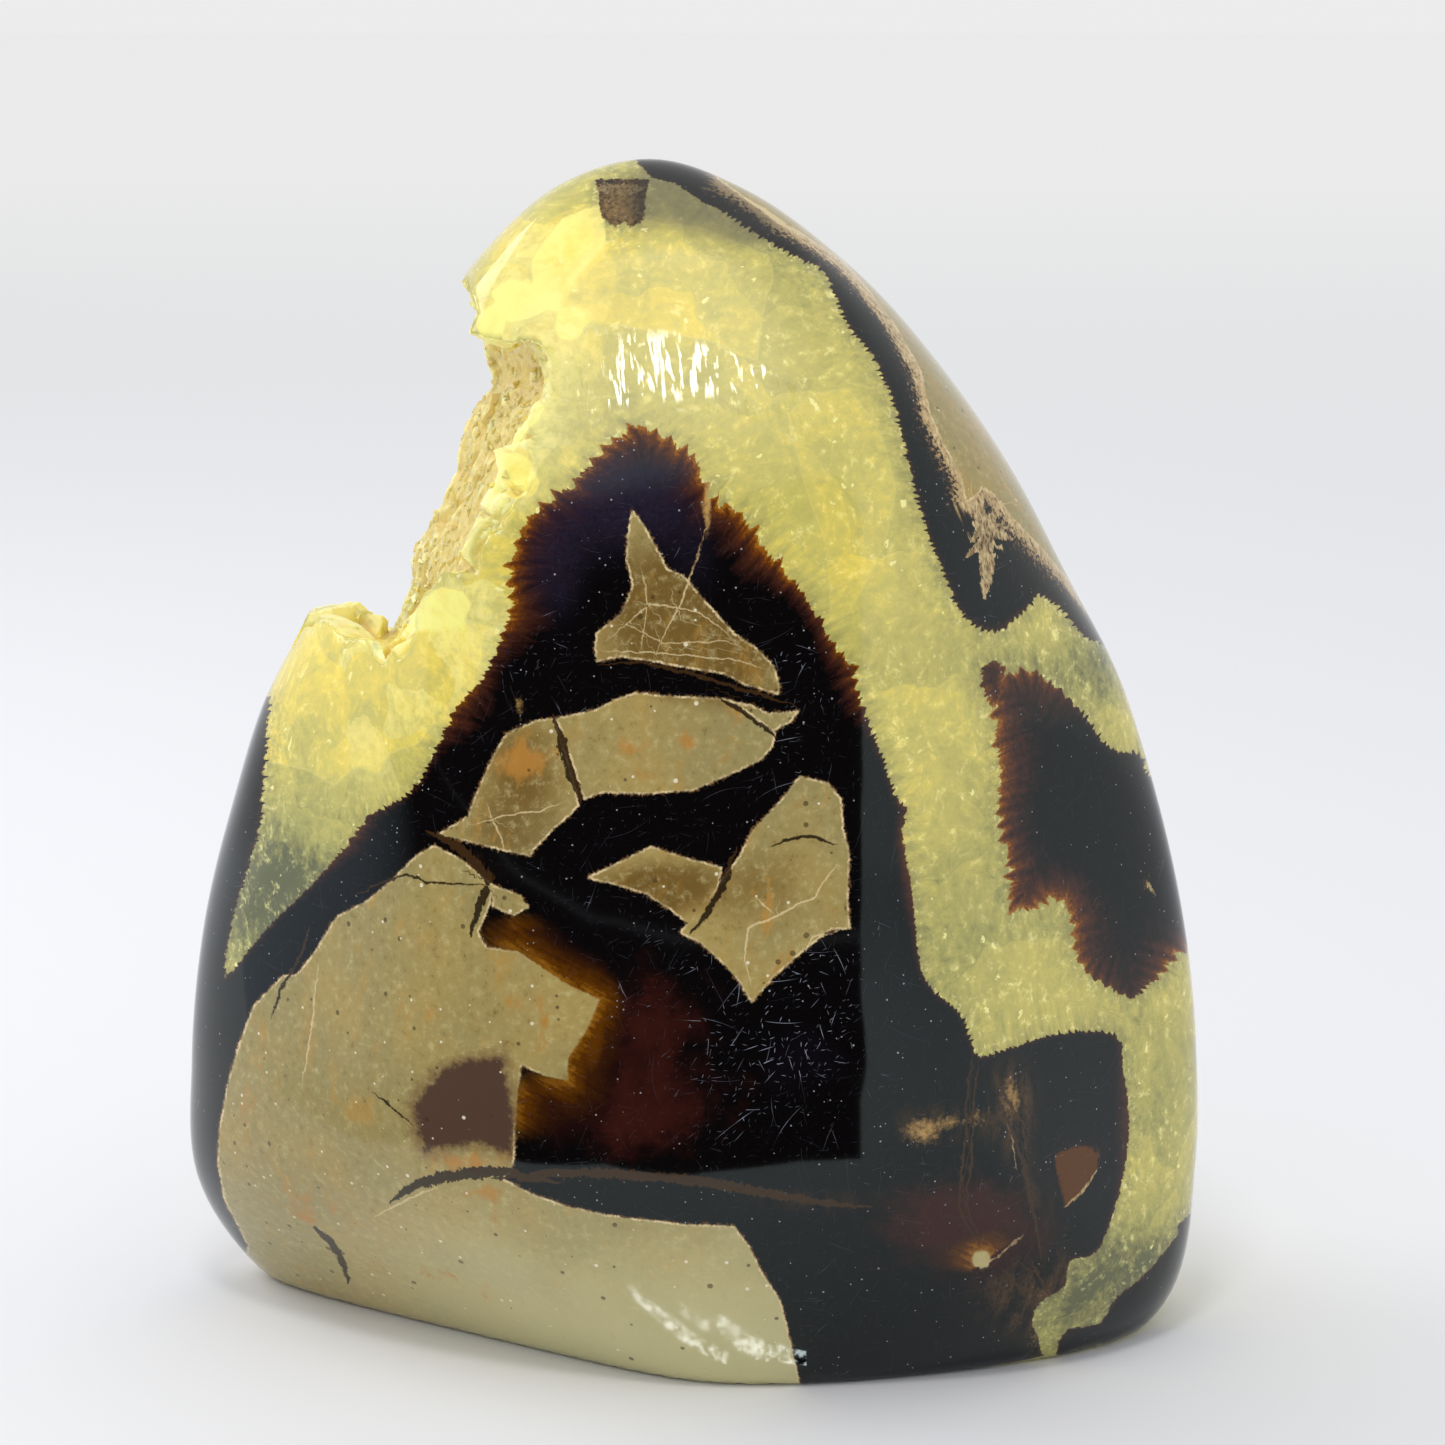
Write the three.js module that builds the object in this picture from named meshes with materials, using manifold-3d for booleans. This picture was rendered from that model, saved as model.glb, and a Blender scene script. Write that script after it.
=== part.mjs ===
// A septarian nodule, cut and polished all over to a leaning, pointed free form that stands on a flat.
// A natural hollow opens through its upper left side, lined with a crust of calcite crystals.
// Millimetres, +Z up, the front of the stone faces -Y. The origin is in the flat that it rests on.
import * as THREE from 'three';
import { mergeVertices } from 'three/addons/utils/BufferGeometryUtils.js';
import Module from 'manifold-3d';

// Outline seen from the front: degrees from +X towards +Z, and the distance from the heart.
const heartHeight = 48;
const outline = [
  [-90, 63], [-68, 63], [-56, 62.6], [-47, 61.5], [-38, 55.8], [-28, 50], [-14, 44.1], [0, 40],
  [15, 37.7], [30, 36.6], [45, 38.2], [60, 41.6], [75, 47], [86, 51.8], [94, 54.6], [102, 53.4],
  [112, 49.2], [125, 43.4], [140, 38.6], [155, 36.7], [170, 38.4], [184, 41.2], [198, 46.6],
  [210, 53], [220, 60], [230, 63], [244, 64], [256, 64],
];
const halfThickness = 27;    // of the pillow that the outline bounds, before it is ground flat
const pillowPower = 2.3;     // 2 is an ellipse in section, more is squarer
const pillowReach = 40;      // turns the pillow's fraction into millimetres
const grindSoftness = 1.6;   // how far the ground faces round into each other
// The outline's edge lies further back towards the lower left, where the stone has a heel.
const heelSetback = 9;
const heelWidth = 34;
const heelHeight = 70;
const heelCurve = 1.5;
const heelLimits = [0.15, 2];

// Ground faces: azimuth from the front towards +X, tilt upwards, distance from the heart.
const groundFaces = [
  [0, 7, 24], [44, 7, 29.5], [-44, 4, 30.5], [-6, 35, 34],
  [180, 5, 24.5], [135, 10, 31], [-140, 8, 31], [176, 35, 34], [178, -35, 41],
];
// Lower bevels: azimuth, tilt, and a point of the table that the face runs through.
const bevels = [[-34, -38, 3, -21.5], [20, -38, 10, -21.5]];
const bodyDetail = 13;       // cuts of each icosahedron edge
const searchSteps = 22;      // halvings on the way to the surface along one direction
const farthest = 95;
const clearance = 200;       // size of the block that keeps what is above the flat

// The hollow's wall and floor as x, z at three depths, from the head of the stone down to its outside.
const hollowSections = [
  { y: -22, points: [
    [-24, 97], [-18.3, 91.8], [-14.5, 89], [-7.2, 87.2], [-7.8, 84.8], [-11.8, 82], [-15.5, 78.5],
    [-17, 75], [-19, 71.5], [-18, 67], [-18.6, 63.5], [-23.5, 60], [-28, 57.8], [-34, 58.6]] },
  { y: 3, points: [
    [-25, 96], [-20.4, 91.8], [-19.6, 89.4], [-18.9, 86.8], [-18.4, 84.8], [-18.2, 82.4], [-19.6, 79],
    [-20.6, 75.5], [-22.5, 71.5], [-24.6, 67.5], [-25.2, 63], [-27.5, 61.2], [-31, 62.8], [-35, 62.5]] },
  { y: 26, points: [
    [-24, 98], [-18, 93.5], [-15, 91], [-13.5, 88], [-13, 85], [-13.6, 82], [-15.5, 78.5],
    [-17.5, 75], [-19.5, 71], [-21, 67], [-22.5, 63.5], [-26, 60.5], [-30, 59.5], [-36, 60]] },
];
const hollowMouth = -52;      // x of the cutter's outer side, clear of the stone
const hollowEnds = [30, -30]; // y of its back and front ends
const wallPoints = 26;
const depthSteps = 16;
const lumpSpacing = 6;
const lumpHeight = 2.2;
const lumpCount = 300;
const lumpRoom = { x: [-40, -4], y: [-26, 28], z: [54, 97] };
const normalStep = 0.02;     // share of the section over which its direction is taken

const crustThickness = 1.8;
const crustGap = 0.4;        // leaves the fit clearance between crust and stone at the steepest lumps
const crystalCount = 70;
const crystalRadius = [1.5, 3.1];
const floorStart = 0.7;      // share of the section where the wall turns into the floor
const floorGrowth = 1.2;     // the floor's crystals are larger by this
const pointedEvery = 4;      // the rest are blocky
const pointed = { sides: 6, width: 0.8, height: 2.6, lift: 0.5 };   // shares of the crystal's radius
const blocky = { width: [0.7, 1.1], height: [0.7, 1.2], lift: 0 };
const crystalReach = [0.06, 0.97];
const crystalDepths = [-20, 22];
const goldenShare = 0.618034;
const seed = 11;

const wasm = await Module();
wasm.setup();

const stoneFinish = new THREE.MeshStandardMaterial({ color: 0x6e624a, roughness: 0.12, metalness: 0 });
const calciteFinish = new THREE.MeshStandardMaterial({ color: 0xe8d27a, roughness: 0.45, metalness: 0 });

// Repeatable random numbers from 0 to 1.
function seededRandom(start) {
  let state = start;
  return () => {
    state = (state * 1664525 + 1013904223) % 4294967296;
    return state / 4294967296;
  };
}

function toSolid(geometry) {
  const bare = geometry.clone();
  bare.deleteAttribute('normal');
  bare.deleteAttribute('uv');
  const merged = mergeVertices(bare, 1e-4);
  return new wasm.Manifold(new wasm.Mesh({
    numProp: 3,
    vertProperties: new Float32Array(merged.attributes.position.array),
    triVerts: new Uint32Array(merged.index.array),
  }));
}

function toMesh(solid, name, material) {
  const result = solid.getMesh();
  const geometry = new THREE.BufferGeometry();
  geometry.setAttribute('position', new THREE.BufferAttribute(new Float32Array(result.vertProperties), 3));
  geometry.setIndex(new THREE.BufferAttribute(new Uint32Array(result.triVerts), 1));
  geometry.computeVertexNormals();
  const mesh = new THREE.Mesh(geometry, material);
  mesh.name = name;
  return mesh;
}

// The outline's distance at any angle: a smooth closed curve through the listed points.
function outlineRadius(degrees) {
  const count = outline.length;
  const start = outline[0][0];
  const angle = start + THREE.MathUtils.euclideanModulo(degrees - start, 360);
  const at = (i) => {
    const turns = Math.floor(i / count);
    const [a, r] = outline[THREE.MathUtils.euclideanModulo(i, count)];
    return [a + 360 * turns, r];
  };
  let i = 0;
  while (i < count - 1 && at(i + 1)[0] <= angle) i += 1;
  const [p, q, r, s] = [at(i - 1), at(i), at(i + 1), at(i + 2)];
  const step = r[0] - q[0];
  const t = (angle - q[0]) / step;
  const leave = ((r[1] - p[1]) / (r[0] - p[0])) * step;
  const arrive = ((s[1] - q[1]) / (s[0] - q[0])) * step;
  return (2 * t ** 3 - 3 * t ** 2 + 1) * q[1] + (t ** 3 - 2 * t ** 2 + t) * leave
    + (3 * t ** 2 - 2 * t ** 3) * r[1] + (t ** 3 - t ** 2) * arrive;
}

function faceNormal(azimuth, tilt) {
  const a = THREE.MathUtils.degToRad(azimuth);
  const t = THREE.MathUtils.degToRad(tilt);
  return new THREE.Vector3(Math.sin(a) * Math.cos(t), -Math.cos(a) * Math.cos(t), Math.sin(t));
}

const heart = new THREE.Vector3(0, 0, heartHeight);
const cuts = [
  ...groundFaces.map(([azimuth, tilt, distance]) => {
    const normal = faceNormal(azimuth, tilt);
    return { normal, offset: normal.dot(heart) + distance };
  }),
  ...bevels.map(([azimuth, tilt, x, y]) => {
    const normal = faceNormal(azimuth, tilt);
    return { normal, offset: normal.dot(new THREE.Vector3(x, y, 0)) };
  }),
];

// Below zero inside the stone: the pillow and the ground faces, blended where they meet.
function stoneField(p) {
  const up = p.z - heartHeight;
  const radius = outlineRadius(THREE.MathUtils.radToDeg(Math.atan2(up, p.x)));
  const across = Math.hypot(p.x, up) / radius;
  const heel = THREE.MathUtils.clamp(-p.x / heelWidth, 0, heelLimits[1]) ** heelCurve;
  const fade = THREE.MathUtils.clamp(1 - p.z / heelHeight, heelLimits[0], 1);
  const edge = heelSetback * heel * fade;
  const through = Math.abs(p.y - edge) / halfThickness;
  const pillow = ((across ** pillowPower + through ** pillowPower) ** (1 / pillowPower) - 1) * pillowReach;
  const distances = [pillow, ...cuts.map(({ normal, offset }) => normal.dot(p) - offset)];
  const top = Math.max(...distances);
  const sum = distances.reduce((total, d) => total + Math.exp((d - top) / grindSoftness), 0);
  return top + grindSoftness * Math.log(sum);
}

function makeStone() {
  const geometry = new THREE.IcosahedronGeometry(1, bodyDetail);
  const position = geometry.attributes.position;
  const direction = new THREE.Vector3();
  const probe = new THREE.Vector3();
  for (let i = 0; i < position.count; i += 1) {
    direction.fromBufferAttribute(position, i).normalize();
    let near = 0;
    let far = farthest;
    for (let step = 0; step < searchSteps; step += 1) {
      const middle = (near + far) / 2;
      probe.copy(heart).addScaledVector(direction, middle);
      if (stoneField(probe) < 0) near = middle;
      else far = middle;
    }
    probe.copy(heart).addScaledVector(direction, near);
    position.setXYZ(i, probe.x, probe.y, probe.z);
  }
  const above = new THREE.BoxGeometry(clearance, clearance, clearance).translate(0, 0, clearance / 2);
  return toSolid(geometry).intersect(toSolid(above));
}

// One point of the hollow's wall: along runs down the section, depth is y.
const sectionCurves = hollowSections.map(({ y, points }) => ({
  y,
  curve: new THREE.CatmullRomCurve3(points.map(([x, z]) => new THREE.Vector3(x, y, z))),
}));

function wallPoint(along, y) {
  const [front, middle, back] = sectionCurves;
  const [from, to] = y < middle.y ? [middle, front] : [middle, back];
  const share = (y - from.y) / (to.y - from.y);
  const point = from.curve.getPoint(along).lerp(to.curve.getPoint(along), share);
  return point.setY(y);
}

// Out of the hollow and into the stone, within the section's plane.
function wallNormal(along, y) {
  const ahead = wallPoint(Math.min(1, along + normalStep), y);
  const behind = wallPoint(Math.max(0, along - normalStep), y);
  const tangent = ahead.sub(behind).normalize();
  return new THREE.Vector3(-tangent.z, 0, tangent.x);
}

const lumpRandom = seededRandom(seed);
const lumpCentres = Array.from({ length: lumpCount }, () => new THREE.Vector3(
  THREE.MathUtils.lerp(...lumpRoom.x, lumpRandom()),
  THREE.MathUtils.lerp(...lumpRoom.y, lumpRandom()),
  THREE.MathUtils.lerp(...lumpRoom.z, lumpRandom()),
));

// Rounded lumps, highest at the middle of each cell and creased between cells.
function lumpAt(point) {
  const nearest = Math.min(...lumpCentres.map((centre) => centre.distanceTo(point)));
  return lumpHeight * (0.5 - nearest / lumpSpacing);
}

// The hollow as a closed cutter, grown by a distance into the stone.
function makeHollow(grow) {
  const wall = Array.from({ length: wallPoints }, (_, i) => i / (wallPoints - 1));
  const shape = new THREE.Shape(wall.map((along) => new THREE.Vector2(along, 0)));
  shape.lineTo(1, -1);
  shape.lineTo(0, -1);
  const geometry = new THREE.ExtrudeGeometry(shape, { depth: 1, steps: depthSteps, bevelEnabled: false });
  const position = geometry.attributes.position;
  for (let i = 0; i < position.count; i += 1) {
    const along = position.getX(i);
    const y = THREE.MathUtils.lerp(hollowEnds[0], hollowEnds[1], position.getZ(i));
    const point = wallPoint(along, y);
    const lump = lumpAt(point);
    point.addScaledVector(wallNormal(along, y), grow - lump);
    if (position.getY(i) < -0.5) point.setX(hollowMouth);
    position.setXYZ(i, point.x, point.y, point.z);
  }
  return toSolid(geometry);
}

// Flat-faced crystals spread evenly over the wall and floor, blocky ones and some six-sided points.
function makeCrystals() {
  const random = seededRandom(seed + 1);
  const between = (range) => THREE.MathUtils.lerp(range[0], range[1], random());
  const up = new THREE.Vector3(0, 1, 0);
  return Array.from({ length: crystalCount }, (_, i) => {
    const along = THREE.MathUtils.lerp(...crystalReach, (i * goldenShare) % 1);
    const y = THREE.MathUtils.lerp(...crystalDepths, (i + random()) / crystalCount);
    const radius = between(crystalRadius) * (along > floorStart ? floorGrowth : 1);
    const form = i % pointedEvery === 0 ? pointed : blocky;
    const lean = new THREE.Vector3(random() - 0.5, random() - 0.5, random() - 0.5);
    const outwards = wallNormal(along, y).negate().add(lean).normalize();
    const crystal = form === pointed
      ? new THREE.ConeGeometry(radius * form.width, radius * form.height, form.sides)
      : new THREE.IcosahedronGeometry(radius, 0).scale(between(form.width), between(form.height), 1);
    crystal.rotateY(random() * Math.PI);
    crystal.applyQuaternion(new THREE.Quaternion().setFromUnitVectors(up, outwards));
    const foot = wallPoint(along, y).addScaledVector(outwards, radius * form.lift);
    return toSolid(crystal.translate(foot.x, foot.y, foot.z));
  });
}

function keepLargest(solid) {
  const pieces = solid.decompose();
  return pieces.reduce((best, piece) => (piece.volume() > best.volume() ? piece : best));
}

const stone = makeStone();
const nodule = keepLargest(stone.subtract(makeHollow(crustThickness)));
const lining = makeHollow(crustThickness - crustGap);
const shell = lining.subtract(makeHollow(0));
const grown = makeCrystals().reduce((whole, crystal) => whole.add(crystal), shell);
const crust = keepLargest(grown.intersect(lining).intersect(stone));

const group = new THREE.Group();
group.add(toMesh(nodule, 'nodule', stoneFinish));
group.add(toMesh(crust, 'crystal_crust', calciteFinish));
export default group;
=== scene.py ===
import itertools
import math

import bmesh
import bpy
import numpy as np
from mathutils import Matrix, Vector
from mathutils.kdtree import KDTree


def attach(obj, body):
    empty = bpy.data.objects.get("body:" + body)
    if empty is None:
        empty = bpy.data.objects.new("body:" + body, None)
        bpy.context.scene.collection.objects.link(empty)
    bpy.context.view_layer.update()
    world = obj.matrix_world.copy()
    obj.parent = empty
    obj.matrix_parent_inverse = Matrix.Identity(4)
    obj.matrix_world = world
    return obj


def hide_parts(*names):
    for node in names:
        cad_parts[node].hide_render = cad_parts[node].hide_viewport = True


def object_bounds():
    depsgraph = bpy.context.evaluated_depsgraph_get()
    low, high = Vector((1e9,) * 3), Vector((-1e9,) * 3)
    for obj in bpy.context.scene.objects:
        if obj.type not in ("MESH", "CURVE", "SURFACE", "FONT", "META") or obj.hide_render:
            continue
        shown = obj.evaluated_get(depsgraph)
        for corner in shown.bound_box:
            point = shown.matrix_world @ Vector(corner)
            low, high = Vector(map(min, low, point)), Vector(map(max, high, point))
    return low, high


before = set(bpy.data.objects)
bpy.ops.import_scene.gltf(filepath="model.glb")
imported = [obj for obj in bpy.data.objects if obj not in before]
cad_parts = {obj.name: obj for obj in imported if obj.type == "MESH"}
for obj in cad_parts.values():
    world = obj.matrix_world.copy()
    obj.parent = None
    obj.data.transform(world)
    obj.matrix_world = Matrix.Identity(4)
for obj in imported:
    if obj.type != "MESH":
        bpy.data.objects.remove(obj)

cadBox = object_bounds()
mm = 0.001
print("frame loaded:", sorted(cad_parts))


# repeatable noise over points in millimetres

def latticeRandom(cell, seed):
    # one value from 0 to 1 for each whole-numbered cell
    c = cell.astype(np.uint64)
    n = c[:, 0] * np.uint64(73856093) ^ c[:, 1] * np.uint64(19349663) ^ c[:, 2] * np.uint64(83492791)
    n = (n ^ np.uint64(seed * 2654435761)) & np.uint64(0xFFFFFFFF)
    for shift, factor in ((15, 2246822519), (13, 3266489917)):
        n = ((n ^ (n >> np.uint64(shift))) * np.uint64(factor)) & np.uint64(0xFFFFFFFF)
    return (n ^ (n >> np.uint64(16))).astype(float) / 4294967296.0


def smoothNoise(points, size, seed):
    # from -1 to 1, with hills about as wide as size
    scaled = points / size
    base = np.floor(scaled).astype(np.int64)
    part = scaled - base
    part = part * part * (3 - 2 * part)
    total = np.zeros(len(points))
    for corner in itertools.product((0, 1), repeat=3):
        weight = np.prod(np.where(corner, part, 1 - part), axis=1)
        total += weight * latticeRandom(base + np.array(corner), seed)
    return total * 2 - 1


def cloudNoise(points, size, seed, levels):
    # smooth noise with finer and fainter noise on top
    parts = [smoothNoise(points, size / 2 ** k, seed + 7 * k) / 2 ** k for k in range(levels)]
    return sum(parts) / 1.5


def crystalTips(points, size, steep, seed):
    # packed broken crystals, each turned its own way with a slanting top, as a height in crystal sizes
    scaled = points / size
    base = np.floor(scaled).astype(np.int64)
    best = np.full(len(points), -9.0)
    for step in itertools.product((-1, 0, 1), repeat=3):
        cell = base + np.array(step)
        gap = scaled - cell - np.stack([latticeRandom(cell, seed + k) for k in range(3)], axis=1)
        turns = [latticeRandom(cell, seed + 11 + k) for k in range(3)]
        reach = 0.5 + 0.5 * latticeRandom(cell, seed + 17)
        flank = (reach - cubeDistance(gap, turns)) * steep
        tall, slant = hollowForm["tipTop"]
        top = reach * tall + (gap * (np.stack(turns, axis=1) - 0.5)).sum(axis=1) * slant
        best = np.maximum(best, np.minimum(flank, top))
    return best


def cubeDistance(gap, turns):
    # distance from the middle of a turned cube, measured square to its faces
    a, b, c = (2 * np.pi * t for t in turns)
    x, y, z = gap.T
    x, y = x * np.cos(a) - y * np.sin(a), x * np.sin(a) + y * np.cos(a)
    y, z = y * np.cos(b) - z * np.sin(b), y * np.sin(b) + z * np.cos(b)
    x, z = x * np.cos(c) - z * np.sin(c), x * np.sin(c) + z * np.cos(c)
    return np.maximum(np.maximum(np.abs(x), np.abs(y)), np.abs(z))


def easeStep(value, start, end):
    share = np.clip((value - start) / (end - start), 0, 1)
    return share * share * (3 - 2 * share)


# the stone's ground form, with the sizes of the CAD solid, in millimetres

stoneForm = {
    "heart": (0, 0, 48),
    "outline": [            # degrees from +X towards +Z, distance from the heart
        (-90, 63), (-68, 63), (-56, 62.6), (-47, 61.5), (-38, 55.8), (-28, 50), (-14, 44.1), (0, 40),
        (15, 37.7), (30, 36.6), (45, 38.2), (60, 41.6), (75, 47), (86, 51.8), (94, 54.6), (102, 53.4),
        (112, 49.2), (125, 43.4), (140, 38.6), (155, 36.7), (170, 38.4), (184, 41.2), (198, 46.6),
        (210, 53), (220, 60), (230, 63), (244, 64), (256, 64)],
    "halfThickness": 27,
    "pillowPower": 2.3,
    "pillowReach": 40,
    "softness": 1.6,
    "baseSoftness": 0.25,
    "heelSetback": 9, "heelWidth": 34, "heelHeight": 70, "heelCurve": 1.5, "heelLimits": (0.15, 2),
    "groundFaces": [        # azimuth from the front towards +X, tilt upwards, distance from the heart
        (0, 7, 24), (44, 7, 29.5), (-44, 4, 30.5), (-6, 35, 34),
        (180, 5, 24.5), (135, 10, 31), (-140, 8, 31), (176, 35, 34), (178, -35, 41)],
    "bevels": [(-34, -38, 3, -21.5), (20, -38, 10, -21.5)],   # azimuth, tilt, a point on the table
    "farthest": 95,
    "halvings": 22,
    "sphereCuts": 7,
    "seamBands": ((0.9, 0.7), (0.4, 0)),    # how near a colour boundary the mesh is made finer: front, back
    "crustInset": 0.03,         # the crust's polished lip lies this much lower, so that no two skins coincide
}
heart = np.array(stoneForm["heart"], float)


def outlineReach(degrees):
    # smooth closed curve through the outline's points
    angle, reach = np.array(stoneForm["outline"], float).T
    angles = np.concatenate([angle[-1:] - 360, angle, angle[:2] + 360])
    reaches = np.concatenate([reach[-1:], reach, reach[:2]])
    wrapped = (degrees - angle[0]) % 360 + angle[0]
    i = np.searchsorted(angles, wrapped, side="right") - 1
    i = np.clip(i, 1, len(angle))
    step = angles[i + 1] - angles[i]
    t = (wrapped - angles[i]) / step
    leave = (reaches[i + 1] - reaches[i - 1]) / (angles[i + 1] - angles[i - 1]) * step
    j = np.minimum(i + 2, len(angles) - 1)
    arrive = (reaches[j] - reaches[i]) / (angles[j] - angles[i]) * step
    return ((2 * t ** 3 - 3 * t ** 2 + 1) * reaches[i] + (t ** 3 - 2 * t ** 2 + t) * leave
            + (3 * t ** 2 - 2 * t ** 3) * reaches[i + 1] + (t ** 3 - t ** 2) * arrive)


def faceNormal(azimuth, tilt):
    a, t = math.radians(azimuth), math.radians(tilt)
    return np.array([math.sin(a) * math.cos(t), -math.cos(a) * math.cos(t), math.sin(t)])


def groundPlanes():
    planes = []
    for azimuth, tilt, distance in stoneForm["groundFaces"]:
        normal = faceNormal(azimuth, tilt)
        planes.append((normal, normal @ heart + distance))
    for azimuth, tilt, x, y in stoneForm["bevels"]:
        normal = faceNormal(azimuth, tilt)
        planes.append((normal, normal @ np.array([x, y, 0])))
    return planes


planes = groundPlanes()


def stoneField(points):
    # below zero inside the stone, in millimetres near its surface
    x, y, z = points.T
    up = z - heart[2]
    across = np.hypot(x, up) / outlineReach(np.degrees(np.arctan2(up, x)))
    low, high = stoneForm["heelLimits"]
    heel = np.clip(-x / stoneForm["heelWidth"], 0, high) ** stoneForm["heelCurve"]
    edge = stoneForm["heelSetback"] * heel * np.clip(1 - z / stoneForm["heelHeight"], low, 1)
    through = np.abs(y - edge) / stoneForm["halfThickness"]
    power = stoneForm["pillowPower"]
    pillow = ((across ** power + through ** power) ** (1 / power) - 1) * stoneForm["pillowReach"]
    distances = np.stack([pillow] + [points @ normal - offset for normal, offset in planes])
    top = distances.max(axis=0)
    soft = stoneForm["softness"]
    body = top + soft * np.log(np.exp((distances - top) / soft).sum(axis=0))
    soft = stoneForm["baseSoftness"]
    return np.maximum(body, -z) + soft * np.log1p(np.exp(-np.abs(body + z) / soft))


def onStone(directions):
    near = np.zeros(len(directions))
    far = np.full(len(directions), float(stoneForm["farthest"]))
    for _ in range(stoneForm["halvings"]):
        middle = (near + far) / 2
        inside = stoneField(heart + directions * middle[:, None]) < 0
        near = np.where(inside, middle, near)
        far = np.where(inside, far, middle)
    return heart + directions * near[:, None]


def stoneNormals(points):
    reach = 0.05
    slopes = [stoneField(points + step) - stoneField(points - step) for step in np.eye(3) * reach]
    normal = np.stack(slopes, axis=1)
    return normal / np.linalg.norm(normal, axis=1)[:, None]


# the pattern: outlines drawn on an upright sheet before the stone, x and z in millimetres

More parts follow.
